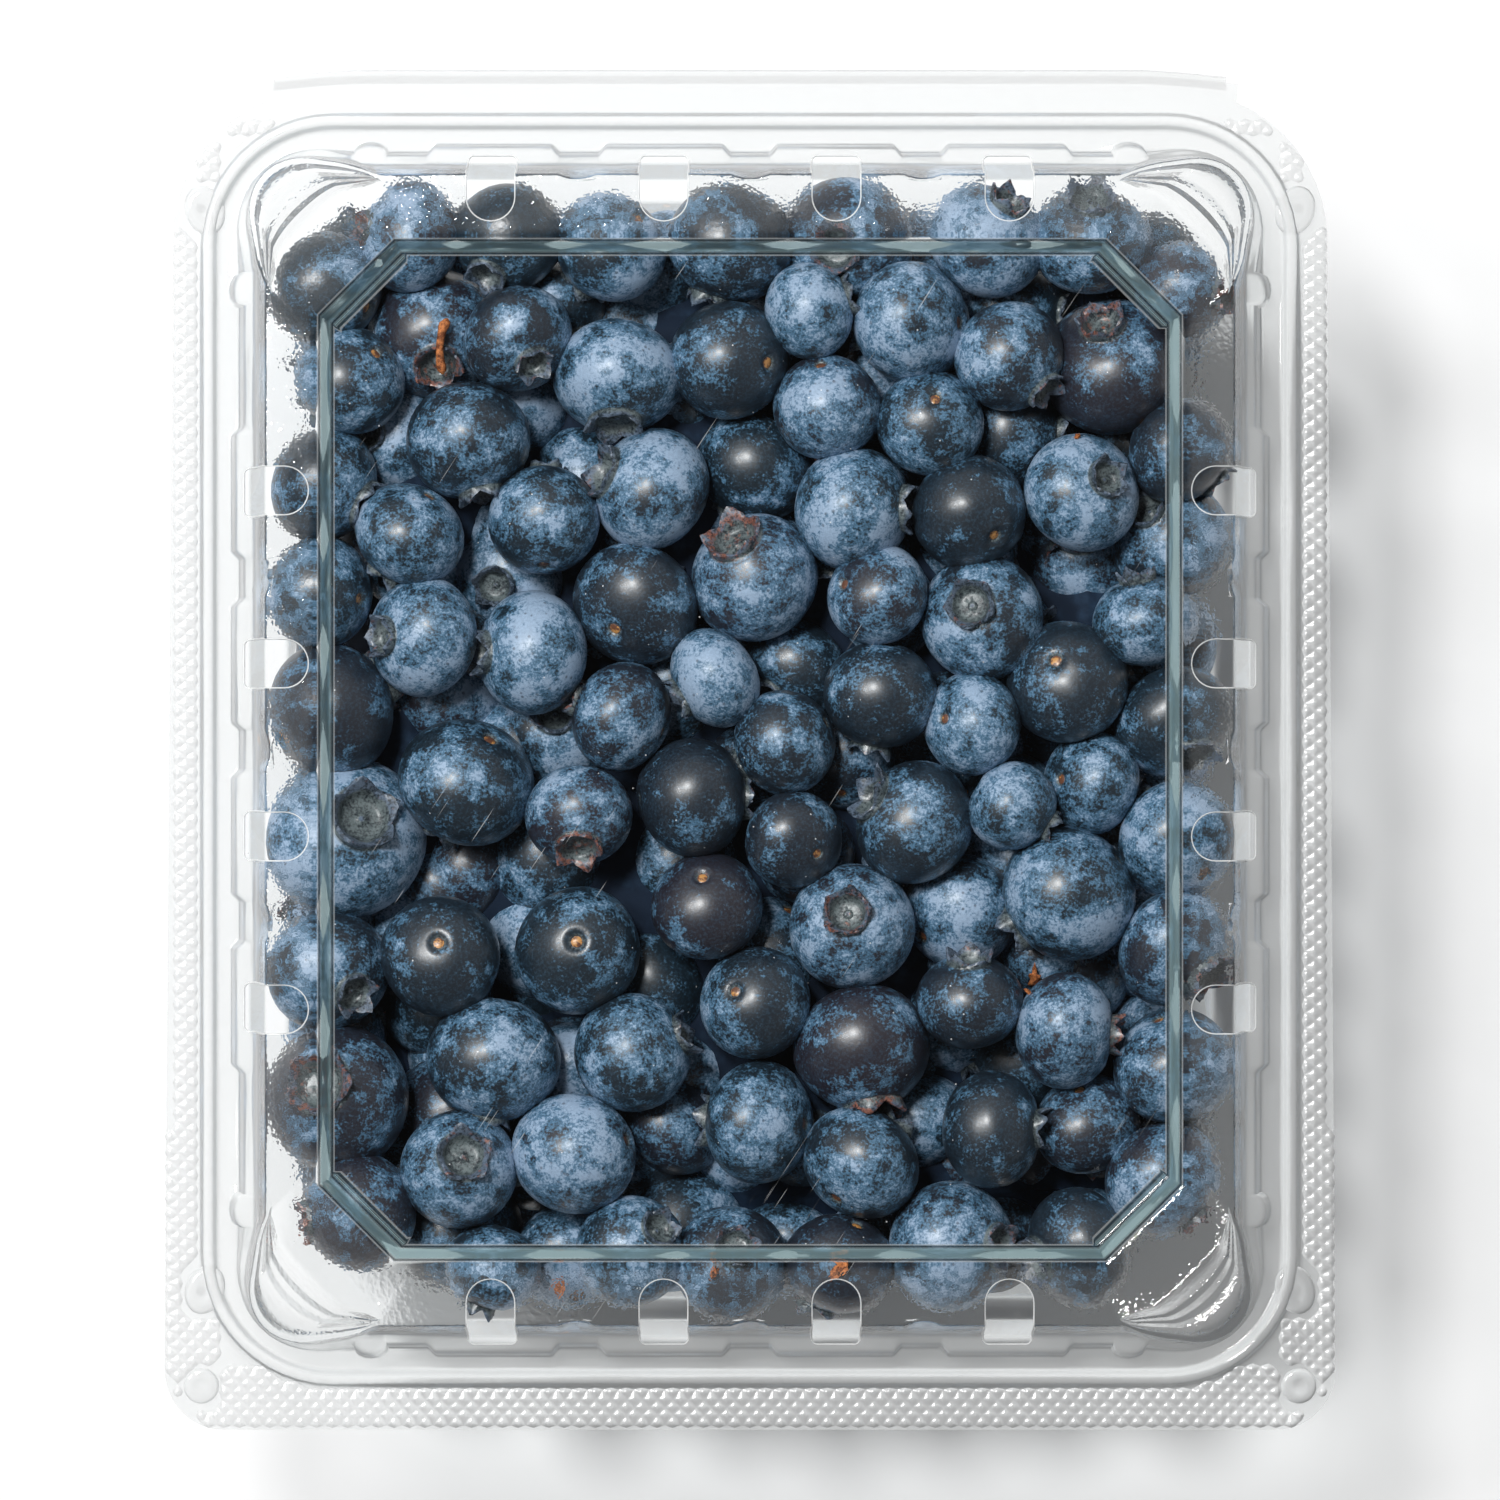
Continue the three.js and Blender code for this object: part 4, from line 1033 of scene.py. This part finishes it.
def lug_rings():
    """The shoulder, from the panel's rim to its edge, raised in a crescent at each corner."""
    inner, outer = np.array(outline(LUG_FOOT)), np.array(outline(SHOULDER_EDGE))
    height = np.array([crescent(x, y) for x, y, _ in outer])
    rings = []
    for share, lift in LUG_STEPS:
        along = (1 - (1 - share) * np.maximum(height, 0.08))[:, None]
        ring = inner * (1 - along) + outer * along
        ring[:, 2] += lift * height ** 0.7
        rings.append(ring)
    return rings


FLANGE = level(63.2, 72, 6.5, LID_SKIN, taper=1.0)
FLANGE.update(front=-73.35, back=71.1, back_radius=16)
PANEL_LEVELS = [level(43.5, 51.9, 7, PANEL_Z, cut=1), PANEL_FOOT, PANEL_RIM,
                level(47.2, 55.6, 8.4, SHOULDER_Z, cut=1)]
WALL_LEVELS = [
    {**SHOULDER_EDGE, "nick": 0.3},
    level(51.6, 61.3, 6.3, SHOULDER_Z, nick=0.5, lug=LUG_SWELL),
    level(53.0, 62.6, 8, LID_SKIN + 5.6, lug=2.0),
    level(54.4, 63.9, 9.2, LID_SKIN + 5, bay=BAY, bump=BUMP, lug=1.2),
    level(55.0, 64.4, 9.8, LID_SKIN, bay=BAY, bump=BUMP, lug=0.8),
    level(57.5, 66.9, 12.6, LID_SKIN),
    level(57.9, 67.3, 13, LID_SKIN + 1.7),
    level(58.9, 68.3, 14, LID_SKIN + 1.7),
    level(59.3, 68.7, 14.4, LID_SKIN),
    FLANGE,
]
SHOULDER_AND_WALL = lug_rings() + [outline(ring) for ring in bent(WALL_LEVELS)]
print("rings of the lid:", len(bent(PANEL_LEVELS)) + len(SHOULDER_AND_WALL))

# %% [markdown]
# Lid and tub go through the same steps: draw the skin, draw its back edge out towards the fold, turn
# it the right way up, give it its thickness, and cut the vents out with one Boolean.

# %% Forming a sheet
MIDDLE = {"half_x": 30, "front": -38, "back": 38}
STRIP_ROOT, STRIP_STRAIGHT, STRIP_SLANT, STRIP_SPREAD = 69.7, 44, 0.1, 1.004
# Which half-size a side lies at, 0 for x and 1 for y, and its turn from the right-hand side.
FOUR_SIDES = [(0, 0), (1, math.pi / 2), (0, math.pi), (1, -math.pi / 2)]


def formed_skin(name, levels, more=()):
    """One skin of the sheet: a flat middle inside the first level, then every bend."""
    rings = [outline({**levels[0], **MIDDLE})] + [outline(ring) for ring in bent(levels)]
    return drawn_in_rings(name, [*rings, *more])


def add_strip(obj, reach):
    """Draws the flange's back edge out to the fold."""
    only_object(obj)
    bpy.ops.object.mode_set(mode="EDIT")
    root = STRIP_ROOT * MM
    select_where(obj, "edges", lambda edge: edge.is_boundary and all(end.co.y > root for end in edge.verts))
    bpy.ops.mesh.extrude_edges_move()
    mesh = bmesh.from_edit_mesh(obj.data)
    for vertex in mesh.verts:
        if vertex.select:
            beyond = max(abs(vertex.co.x) - STRIP_STRAIGHT * MM, 0)
            vertex.co.y = reach * MM - beyond * STRIP_SLANT
            vertex.co.x *= 1.0 if beyond == 0 else STRIP_SPREAD
    bmesh.update_edit_mesh(obj.data)
    bpy.ops.object.mode_set(mode="OBJECT")


def facing_up(sheet):
    """Turns the skin's faces so that its flat middle faces up, and the sheet hangs below it."""
    only_object(sheet)
    bpy.ops.object.mode_set(mode="EDIT")
    bpy.ops.mesh.select_all(action="SELECT")
    bpy.ops.mesh.normals_make_consistent(inside=False)
    bpy.ops.object.mode_set(mode="OBJECT")
    middle = max(sheet.data.polygons, key=lambda face: face.area)
    if middle.normal.z < 0:
        bpy.ops.object.mode_set(mode="EDIT")
        bpy.ops.mesh.select_all(action="SELECT")
        bpy.ops.mesh.flip_normals()
        bpy.ops.object.mode_set(mode="OBJECT")


# %% Vents
def vent_cutter(inner, outer, place, turn, low, high):
    """A block with a half-round inner end, ready to be cut out of the sheet."""
    bpy.ops.object.select_all(action="DESELECT")
    bpy.ops.mesh.primitive_cube_add(size=1)
    cutter = bpy.context.object
    bpy.ops.object.mode_set(mode="EDIT")
    bpy.ops.transform.resize(value=((outer - inner) * MM, VENT_WIDTH * MM, (high - low) * MM))
    bpy.ops.transform.translate(value=((outer + inner) / 2 * MM, place * MM, (high + low) / 2 * MM))

    def stands_at(edge, x):
        upright = abs(edge.verts[0].co.z - edge.verts[1].co.z) > (high - low) * MM * 0.9
        return upright and all(abs(vertex.co.x - x * MM) < 0.2 * MM for vertex in edge.verts)

    for x, radius, segments in ((inner, VENT_WIDTH * 0.49, 8), (outer, VENT_ROUNDING, 4)):
        select_where(cutter, "edges", lambda edge: stands_at(edge, x))
        bpy.ops.mesh.bevel(offset=radius * MM, segments=segments)
    bpy.ops.object.mode_set(mode="OBJECT")
    cutter.data.transform(Matrix.Rotation(turn, 4, "Z"))
    return cutter


def cut_out(sheet, cutters):
    """Cuts all the blocks out of a sheet at once."""
    cutter = joined("cutter", cutters)
    apply_modifier(sheet, "BOOLEAN", object=cutter, operation="DIFFERENCE", solver="MANIFOLD")
    bpy.data.objects.remove(cutter)


def formed_sheet(name, levels, more, strip_reach, vents):
    """The whole sheet of the lid or the tub, from its levels to its vents."""
    sheet = formed_skin(name, levels, more)
    add_strip(sheet, strip_reach)
    facing_up(sheet)
    with_thickness(sheet, SHEET, use_quality_normals=True)
    inner, outer, low, high = vents
    cut_out(sheet, [vent_cutter(inner[axis], outer[axis], place, turn, low, high)
                    for axis, turn in FOUR_SIDES for place in VENT_PLACES])
    return sheet


# %% Marks on a sheet
def mark_sheet(obj, dark_step=0.0, grainy=0.0, hazy=1.0):
    """Gives a piece the colour attribute that the clear sheet's finish reads."""
    count = len(obj.data.vertices)
    columns = [np.broadcast_to(value, count) for value in (dark_step, grainy, hazy, 1.0)]
    mark = obj.data.attributes.new("sheet", "FLOAT_COLOR", "POINT")
    mark.data.foreach_set("color", np.column_stack(columns).astype(np.float32).ravel())

# %% [markdown]
# Three kinds of sheet differ in look: the panel's wall is a dark teal band, the sheet's green deepened by
# painted shade for the refraction in it, with painted dark lines along its edges; the shoulder is grainy,
# and the walls and the flange are hazy. Each vertex is told by its place which one it is.

# %% Lid
# Where the vents start and end, on the right and at the front, and how low and high they are cut.
LID_VENTS = ((46.9, 56.2), (54.3, 63.8), LID_SKIN + 1, SHOULDER_Z + 3)
# The eight-sided panel with its wall, and the panel alone: the largest x, y and x + y of each.
PANEL_ZONE, PANEL_FLOOR = (46.6, 55, 92.6), (44.3, 52.7, 89.5)

lid = formed_sheet("lid_sheet", PANEL_LEVELS, SHOULDER_AND_WALL, 72.75, LID_VENTS)
x, y, z = (np.abs([vertex.co[:] for vertex in lid.data.vertices]) / MM).T
on_panel, on_floor = [(x < zone[0]) & (y < zone[1]) & (x + y < zone[2]) for zone in (PANEL_ZONE, PANEL_FLOOR)]
panel_wall = on_panel & ~on_floor & (z > PANEL_Z - SHEET + 0.12) & (z < SHOULDER_Z - 0.05)
# The step's top and foot, where the painted dark lines go.
wall_edge = (z > SHOULDER_Z - 0.25) | (np.abs(z - PANEL_Z - 0.05) < 0.05)
shoulder = ~on_panel & (z > SHOULDER_Z - 0.6)
on_lug = ~on_panel & (z > SHOULDER_Z + 0.15)
below = ~on_panel & (z < SHOULDER_Z - 1)
# The panel's wall gets the painted dark band, and its edges get half of it, which the finish turns into
# painted dark lines.
mark_sheet(lid, dark_step=panel_wall * np.where(wall_edge, 0.5, 1.0), grainy=shoulder, hazy=below + 0.5 * on_lug)
dressed(lid, CLEAR_SHEET, "lid", replaces="lid")

# %% [markdown]
# ## The tub
# From the middle outwards: the raised floor, the foot, the wall with a bay at each vent so that
# narrow ribs are left between them, the ledge under the rim, and the flange that the lid lies on. It
# is formed as the lid is, and has drain holes in its floor besides.

# %% Tub
TUB_VENTS = ((43.4, 52.4), (48.9, 57.9), -1, 6.5)
DRAIN_X, DRAIN_HALF_LENGTH, DRAIN_HALF_WIDTH, DRAIN_DEPTH = 18, 3.5, 1.325, 4
TUB_LEVELS = [
    level(38, 46.5, 9, FOOT_Z + 1.6),
    level(39.2, 47.7, 9.6, FOOT_Z),
    level(47.4, 56.4, 11, FOOT_Z),
    level(48.6, 57.6, 12, 1.9),
    level(49.2, 58.3, 12, RIM_Z),
    level(49.5, 58.6, 12, RIM_Z + 1, bay=-BAY),
    level(51.3, 60.6, 11.6, LEDGE_Z - 1.6, bay=-BAY),
    level(51.5, 60.8, 11.4, LEDGE_Z - 0.6),
    level(52.9, 62.2, 11, LEDGE_Z),
    level(54.0, 63.3, 10.6, FLANGE_Z - 0.8),
    level(54.9, 64.2, 11, FLANGE_Z),
    {**FLANGE, "z": FLANGE_Z},
]

tub = formed_sheet("tub_sheet", TUB_LEVELS, (), 71.8, TUB_VENTS)
drain_size = Matrix.Diagonal((DRAIN_HALF_LENGTH * MM, DRAIN_HALF_WIDTH * MM, DRAIN_DEPTH * MM, 1))
drains = []
for x in (-DRAIN_X, DRAIN_X):
    for y in VENT_PLACES:
        bpy.ops.object.select_all(action="DESELECT")
        bpy.ops.mesh.primitive_cylinder_add(vertices=32, radius=1, depth=1)
        drains.append(bpy.context.object)
        drains[-1].data.transform(Matrix.Translation((x * MM, y * MM, 2 * MM)) @ drain_size)
cut_out(tub, drains)
dressed(tub, CLEAR_SHEET, "tub", replaces="base")

# %% [markdown]
# ## Punched rims
# A punch leaves the edge of each vent dull and a little proud, so that it shows as a thin bright
# line. Each rim is a fine closed wire that follows the sheet: its outline is drawn flat over the
# sheet and dropped onto it.

# %% Vent rims
RIM_RADIUS, RIM_SINK = 0.13, 0.12


def vent_outline(inner, outer, place, turn):
    """The outline of one vent seen from above, anticlockwise."""
    half, soft = VENT_WIDTH / 2, VENT_ROUNDING
    arc = np.radians(np.linspace(90, 270, 17))
    points = [(inner + half + half * math.cos(a), half * math.sin(a)) for a in arc]
    points += [(x, -half) for x in np.linspace(inner + half + 0.5, outer - soft, 10)]
    points += [(outer - soft + soft * math.sin(a), -half + soft - soft * math.cos(a))
               for a in np.radians([25, 50, 75])]
    points += [(x, -y) for x, y in reversed(points[len(arc):])]
    c, s = math.cos(turn), math.sin(turn)
    return [((x * c - (y + place) * s), (x * s + (y + place) * c)) for x, y in points]


def wire(name, paths, radius):
    """Closed wires along paths of points in metres, as one mesh."""
    curve = bpy.data.curves.new(name, "CURVE")
    curve.dimensions, curve.bevel_depth, curve.bevel_resolution = "3D", radius * MM, 1
    for path in paths:
        spline = curve.splines.new("POLY")
        spline.points.add(len(path) - 1)
        spline.points.foreach_set("co", np.column_stack([path, np.ones(len(path))]).ravel())
        spline.use_cyclic_u = True
    obj = bpy.data.objects.new(name, curve)
    bpy.context.scene.collection.objects.link(obj)
    only_object(obj)
    bpy.ops.object.convert(target="MESH")
    return bpy.context.object


def dropped(surface, outline_points, from_z):
    """The points of an outline on the sheet under them."""
    path = []
    for x, y in outline_points:
        hit, spot, _, _ = surface.ray_cast((x * MM, y * MM, from_z * MM), (0, 0, -1))
        if hit:
            path.append(spot[:])
    return path


lid_skin = formed_skin("lid_skin", PANEL_LEVELS, SHOULDER_AND_WALL)
vent_inner, vent_outer, *_ = LID_VENTS
paths = []
for axis, turn in FOUR_SIDES:
    for place in VENT_PLACES:
        path = vent_outline(vent_inner[axis], vent_outer[axis], place, turn)
        paths.append(np.array(dropped(lid_skin, path, SHOULDER_Z + 5)) - (0, 0, RIM_SINK * MM))
bpy.data.objects.remove(lid_skin)
rims = wire("vent_rims", paths, RIM_RADIUS)
dressed(rims, PUNCHED_EDGE, "lid", replaces="lid", angle=60)

# %% [markdown]
# ## The knurled flange
# The flange of the lid is rolled with small pyramids, so that wet fingers can open the pack. They
# are a grid turned by an eighth of a turn: only the faces on the flange stay, and each is poked up
# into a pyramid and softened into a bump. A bump in the material would look flat from the side.

# %% Knurl
KNURL_PITCH, KNURL_RISE, KNURL_SKIN, KNURL_GAP = 1.18, 0.75, 0.06, 0.03
KNURL_CLEAR_X, KNURL_CLEAR_Y, KNURL_BACK, KNURL_SPAN = 57, 66, 67.6, 200
STUD_GAP, STUD_WALL = 0.6, 0.9
# x, y, half its length both ways, turn and height of each stud: four ovals, then two discs.
STUDS = [(sx * 58.8, sy * 58.2, 2.1, 2.7, -sx * sy * 0.35, 1.0) for sx in (-1, 1) for sy in (-1, 1)]
STUDS += [(sx * 59.2, -68.6, 1.9, 1.9, 0.0, 0.7) for sx in (-1, 1)]
KNURL_INNER = level(59.5, 68.9, 14.6, LID_SKIN)
KNURL_OUTER = {**FLANGE, "half_x": 62.8, "front": -72.9, "back": 70.7,
               "back_radius": 15.6, "front_radius": 6.1}


def inside(ring, x, y):
    """Which places seen from above lie inside a ring's outline."""
    start = np.array(outline(ring))[:, :2]
    end = np.roll(start, -1, axis=0)
    crosses = (start[:, 1] > y) != (end[:, 1] > y)
    slope = (end[:, 0] - start[:, 0]) / np.where(end[:, 1] == start[:, 1], 1, end[:, 1] - start[:, 1])
    return np.count_nonzero(crosses & (x < start[:, 0] + (y - start[:, 1]) * slope), axis=1) % 2 == 1


def in_stud(x, y, stud, margin):
    """Which places lie inside a stud's outline that is moved outwards by a margin."""
    stud_x, stud_y, half_x, half_y, *_ = stud
    return (x - stud_x) ** 2 / (half_x + margin) ** 2 + (y - stud_y) ** 2 / (half_y + margin) ** 2 < 1


def on_knurl(x, y):
    """Which places are on the flange, clear of the bead, the smooth hinge strip and the studs' walls."""
    keep = ((np.abs(x) > KNURL_CLEAR_X) | (np.abs(y) > KNURL_CLEAR_Y)) & (y < KNURL_BACK)
    for stud in STUDS:
        is_oval = stud[2] != stud[3]
        keep &= ~in_stud(x, y, stud, STUD_GAP) | (in_stud(x, y, stud, -STUD_WALL) & is_oval)
    x, y = x[keep, None], y[keep, None]
    keep[keep] = inside(KNURL_OUTER, x, y) & ~inside(KNURL_INNER, x, y)
    return keep


bpy.ops.object.select_all(action="DESELECT")
side = math.ceil(KNURL_SPAN / KNURL_PITCH)
bpy.ops.mesh.primitive_grid_add(x_subdivisions=side, y_subdivisions=side, size=side * KNURL_PITCH * MM)
knurl = bpy.context.object
knurl.name = "knurl"
knurl.data.transform(Matrix.Rotation(math.pi / 4, 4, "Z"))
middles = np.array([face.center[:] for face in knurl.data.polygons]) / MM
bpy.ops.object.mode_set(mode="EDIT")
bpy.ops.mesh.select_mode(type="FACE")
keep = on_knurl(middles[:, 0], middles[:, 1])
select_where(knurl, "faces", lambda face: not keep[face.index])
bpy.ops.mesh.delete(type="FACE")
bpy.ops.mesh.select_all(action="SELECT")
bpy.ops.mesh.poke(offset=KNURL_RISE * MM)
bpy.ops.mesh.select_mode(type="VERT")
bpy.ops.object.mode_set(mode="OBJECT")
apply_modifier(knurl, "SUBSURF", levels=1)
knurl.data.transform(Matrix.Translation((0, 0, (LID_SKIN + KNURL_GAP) * MM)))
with_thickness(knurl, KNURL_SKIN)
print("knurl:", len(knurl.data.polygons), "faces")
dressed(knurl, ROLLED_SHEET, "lid", replaces="lid", angle=60)

# %% [markdown]
# ## Studs
# Four oval studs and two round ones stand on the flange's corners and keep stacked lids from
# sliding. Each is a low disc with a rounded top edge and an open underside. A cylinder has its edges
# just where the bevel and the dish in the top need them.

# %% Studs
STUD_SKIN = 0.2
studs = []
for x, y, half_x, half_y, turn, rise in STUDS:
    bpy.ops.object.select_all(action="DESELECT")
    bpy.ops.mesh.primitive_cylinder_add(vertices=40, radius=1, depth=1, end_fill_type="NGON")
    stud = bpy.context.object
    bpy.ops.object.mode_set(mode="EDIT")
    bpy.ops.transform.resize(value=(half_x * MM, half_y * MM, rise * MM))
    select_where(stud, "edges", lambda edge: all(vertex.co.z > 0 for vertex in edge.verts))
    bpy.ops.mesh.bevel(offset=rise * 0.6 * MM, segments=4)
    base = -rise * 0.49 * MM
    select_where(stud, "faces", lambda face: all(vertex.co.z < base for vertex in face.verts))
    bpy.ops.mesh.delete(type="FACE")
    bpy.ops.object.mode_set(mode="OBJECT")
    top = max(stud.data.polygons, key=lambda face: face.center.z)
    bpy.ops.object.mode_set(mode="EDIT")
    bpy.ops.mesh.select_all(action="DESELECT")
    mesh = bmesh.from_edit_mesh(stud.data)
    mesh.faces.ensure_lookup_table()
    mesh.faces[top.index].select_set(True)
    bmesh.update_edit_mesh(stud.data)
    bpy.ops.mesh.inset(thickness=0.45 * MM, depth=0.12 * MM)
    bpy.ops.mesh.inset(thickness=0.35 * MM, depth=-0.1 * MM)
    bpy.ops.object.mode_set(mode="OBJECT")
    middle = Matrix.Translation((x * MM, y * MM, (LID_SKIN + rise / 2 + 0.02) * MM))
    stud.data.transform(middle @ Matrix.Rotation(turn, 4, "Z"))
    with_thickness(stud, STUD_SKIN)
    studs.append(stud)
stud_piece = joined("studs", studs)
mark_sheet(stud_piece)
dressed(stud_piece, CLEAR_SHEET, "lid", replaces="lid", angle=50)

# %% [markdown]
# ## The fold
# Lid and tub are one sheet, folded back on itself along the back. The fold is a strip bent round in
# a U, from the tub's edge below to the lid's edge above.

# %% Fold
FOLD_HALF, FOLD_REACH, FOLD_SKIN = 51.4, 73.4, 0.2
FOLD_START, FOLD_STEPS, FOLD_STATIONS = 71.9, 14, 24


def fold_profile(share):
    """A place on the U, from the tub's edge at 0 to the lid's edge at 1, as y and z."""
    radius = (LID_SKIN - FLANGE_Z + SHEET) / 2
    middle_y, middle_z = FOLD_REACH - radius, FLANGE_Z - SHEET + radius
    straight = middle_y - FOLD_START
    reach = share * (2 * straight + math.pi * radius)
    if reach < straight:
        return FOLD_START + reach, middle_z - radius
    if reach > straight + math.pi * radius:
        return middle_y - (reach - straight - math.pi * radius), middle_z + radius
    angle = (reach - straight) / radius
    return middle_y + radius * math.sin(angle), middle_z - radius * math.cos(angle)


bpy.ops.object.select_all(action="DESELECT")
bpy.ops.mesh.primitive_grid_add(x_subdivisions=FOLD_STATIONS, y_subdivisions=FOLD_STEPS, size=1)
fold = bpy.context.object
fold.name = "fold"
bpy.ops.object.mode_set(mode="EDIT")
mesh = bmesh.from_edit_mesh(fold.data)
for vertex in mesh.verts:
    along, share = vertex.co.x * 2 * FOLD_HALF, vertex.co.y + 0.5
    y, z = fold_profile(share)
    y -= max(abs(along) - STRIP_STRAIGHT, 0) * STRIP_SLANT
    vertex.co = (along * MM, y * MM, z * MM)
bmesh.update_edit_mesh(fold.data)
bpy.ops.mesh.select_all(action="SELECT")
bpy.ops.mesh.flip_normals()
bpy.ops.object.mode_set(mode="OBJECT")
with_thickness(fold, FOLD_SKIN)
mark_sheet(fold)
fold.data.materials.append(CLEAR_SHEET)
bpy.ops.object.shade_smooth_by_angle(angle=math.radians(40))
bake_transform(fold)

# %% [markdown]
# ## Stage, light and camera
# A clear sheet shows only what it bends and mirrors, so the surroundings matter as much as the
# lamps. The floor and the sky are white. The sky is dim overhead and brighter low down, most of all
# at the back, so that flat sheet stays clear and its bends catch the light. One soft light stands
# overhead, a little to the left and back, and a second further to the left draws the shadow on the
# right. The camera looks straight down through a long lens, so that the walls hardly spread.

# %% Stage
FLOOR_WHITE = (0.9, 0.9, 0.9, 1)
bpy.ops.object.select_all(action="DESELECT")
bpy.ops.mesh.primitive_plane_add(size=4)
floor = bpy.context.object
floor.name = "floor"
floor_finish = Finish("floor")
floor.data.materials.append(floor_finish.finish(floor_finish.principled({
    "Base Color": FLOOR_WHITE, "Roughness": 0.9, "Specular IOR Level": 0.0})))

# %% Sky
WHITE = (1, 1, 1, 1)
BRIGHT_SIDE = (0.25, 0.85, 0)
scene = bpy.context.scene
sky = Finish("studio", bpy.data.worlds, "ShaderNodeOutputWorld")
direction = sky.add("ShaderNodeTexCoord").out("Generated")
height = sky.add("ShaderNodeSeparateXYZ", None, {0: direction}).out("Z")
by_height = sky.add("ShaderNodeMapRange", {"interpolation_type": "SMOOTHSTEP"}, {
    "Value": height, "From Min": 0.72, "From Max": 0.93, "To Min": 0.44, "To Max": 0.05})
side = sky.add("ShaderNodeVectorMath", {"operation": "DOT_PRODUCT"}, {0: direction, 1: BRIGHT_SIDE}, "Value")
by_side = sky.add("ShaderNodeMapRange", None, {
    "Value": side, "From Min": -0.8, "From Max": 0.8, "To Min": 0.32, "To Max": 1.12})
scene.world = sky.finish(sky.add("ShaderNodeBackground", None, {
    "Color": WHITE, "Strength": by_height * by_side}))


# %% Lights and camera
def soft_light(name, place, size, power):
    light = bpy.data.lights.new(name, "AREA")
    light.shape = "DISK"
    light.size = size
    light.energy = power
    obj = bpy.data.objects.new(name, light)
    scene.collection.objects.link(obj)
    obj.location = place
    print(f"{name}: {power} W, {size} m across, at {place}")
    obj.rotation_euler = (-Vector(place)).to_track_quat("-Z", "Y").to_euler()


soft_light("key", (-0.3, 0.4, 1.15), 0.22, 11.0)
soft_light("side", (-0.62, 0.28, 1.1), 0.3, 6.6)

camera = bpy.data.cameras.new("camera")
camera_object = bpy.data.objects.new("camera", camera)
scene.collection.objects.link(camera_object)
CAMERA_HEIGHT, FRAME_WIDTH, SENSOR_WIDTH = 900, 162, 36
camera_object.location = (0, 0, (FLANGE_Z + CAMERA_HEIGHT) * MM)
camera.sensor_width = SENSOR_WIDTH
camera.lens = SENSOR_WIDTH * CAMERA_HEIGHT / FRAME_WIDTH
scene.camera = camera_object
scene.view_settings.view_transform = "Standard"
scene.cycles.transparent_max_bounces = 16
scene.cycles.max_bounces = 10
scene.cycles.transmission_bounces = 9
scene.cycles.diffuse_bounces = 2
scene.cycles.glossy_bounces = 3
scene.cycles.adaptive_threshold = 0.05
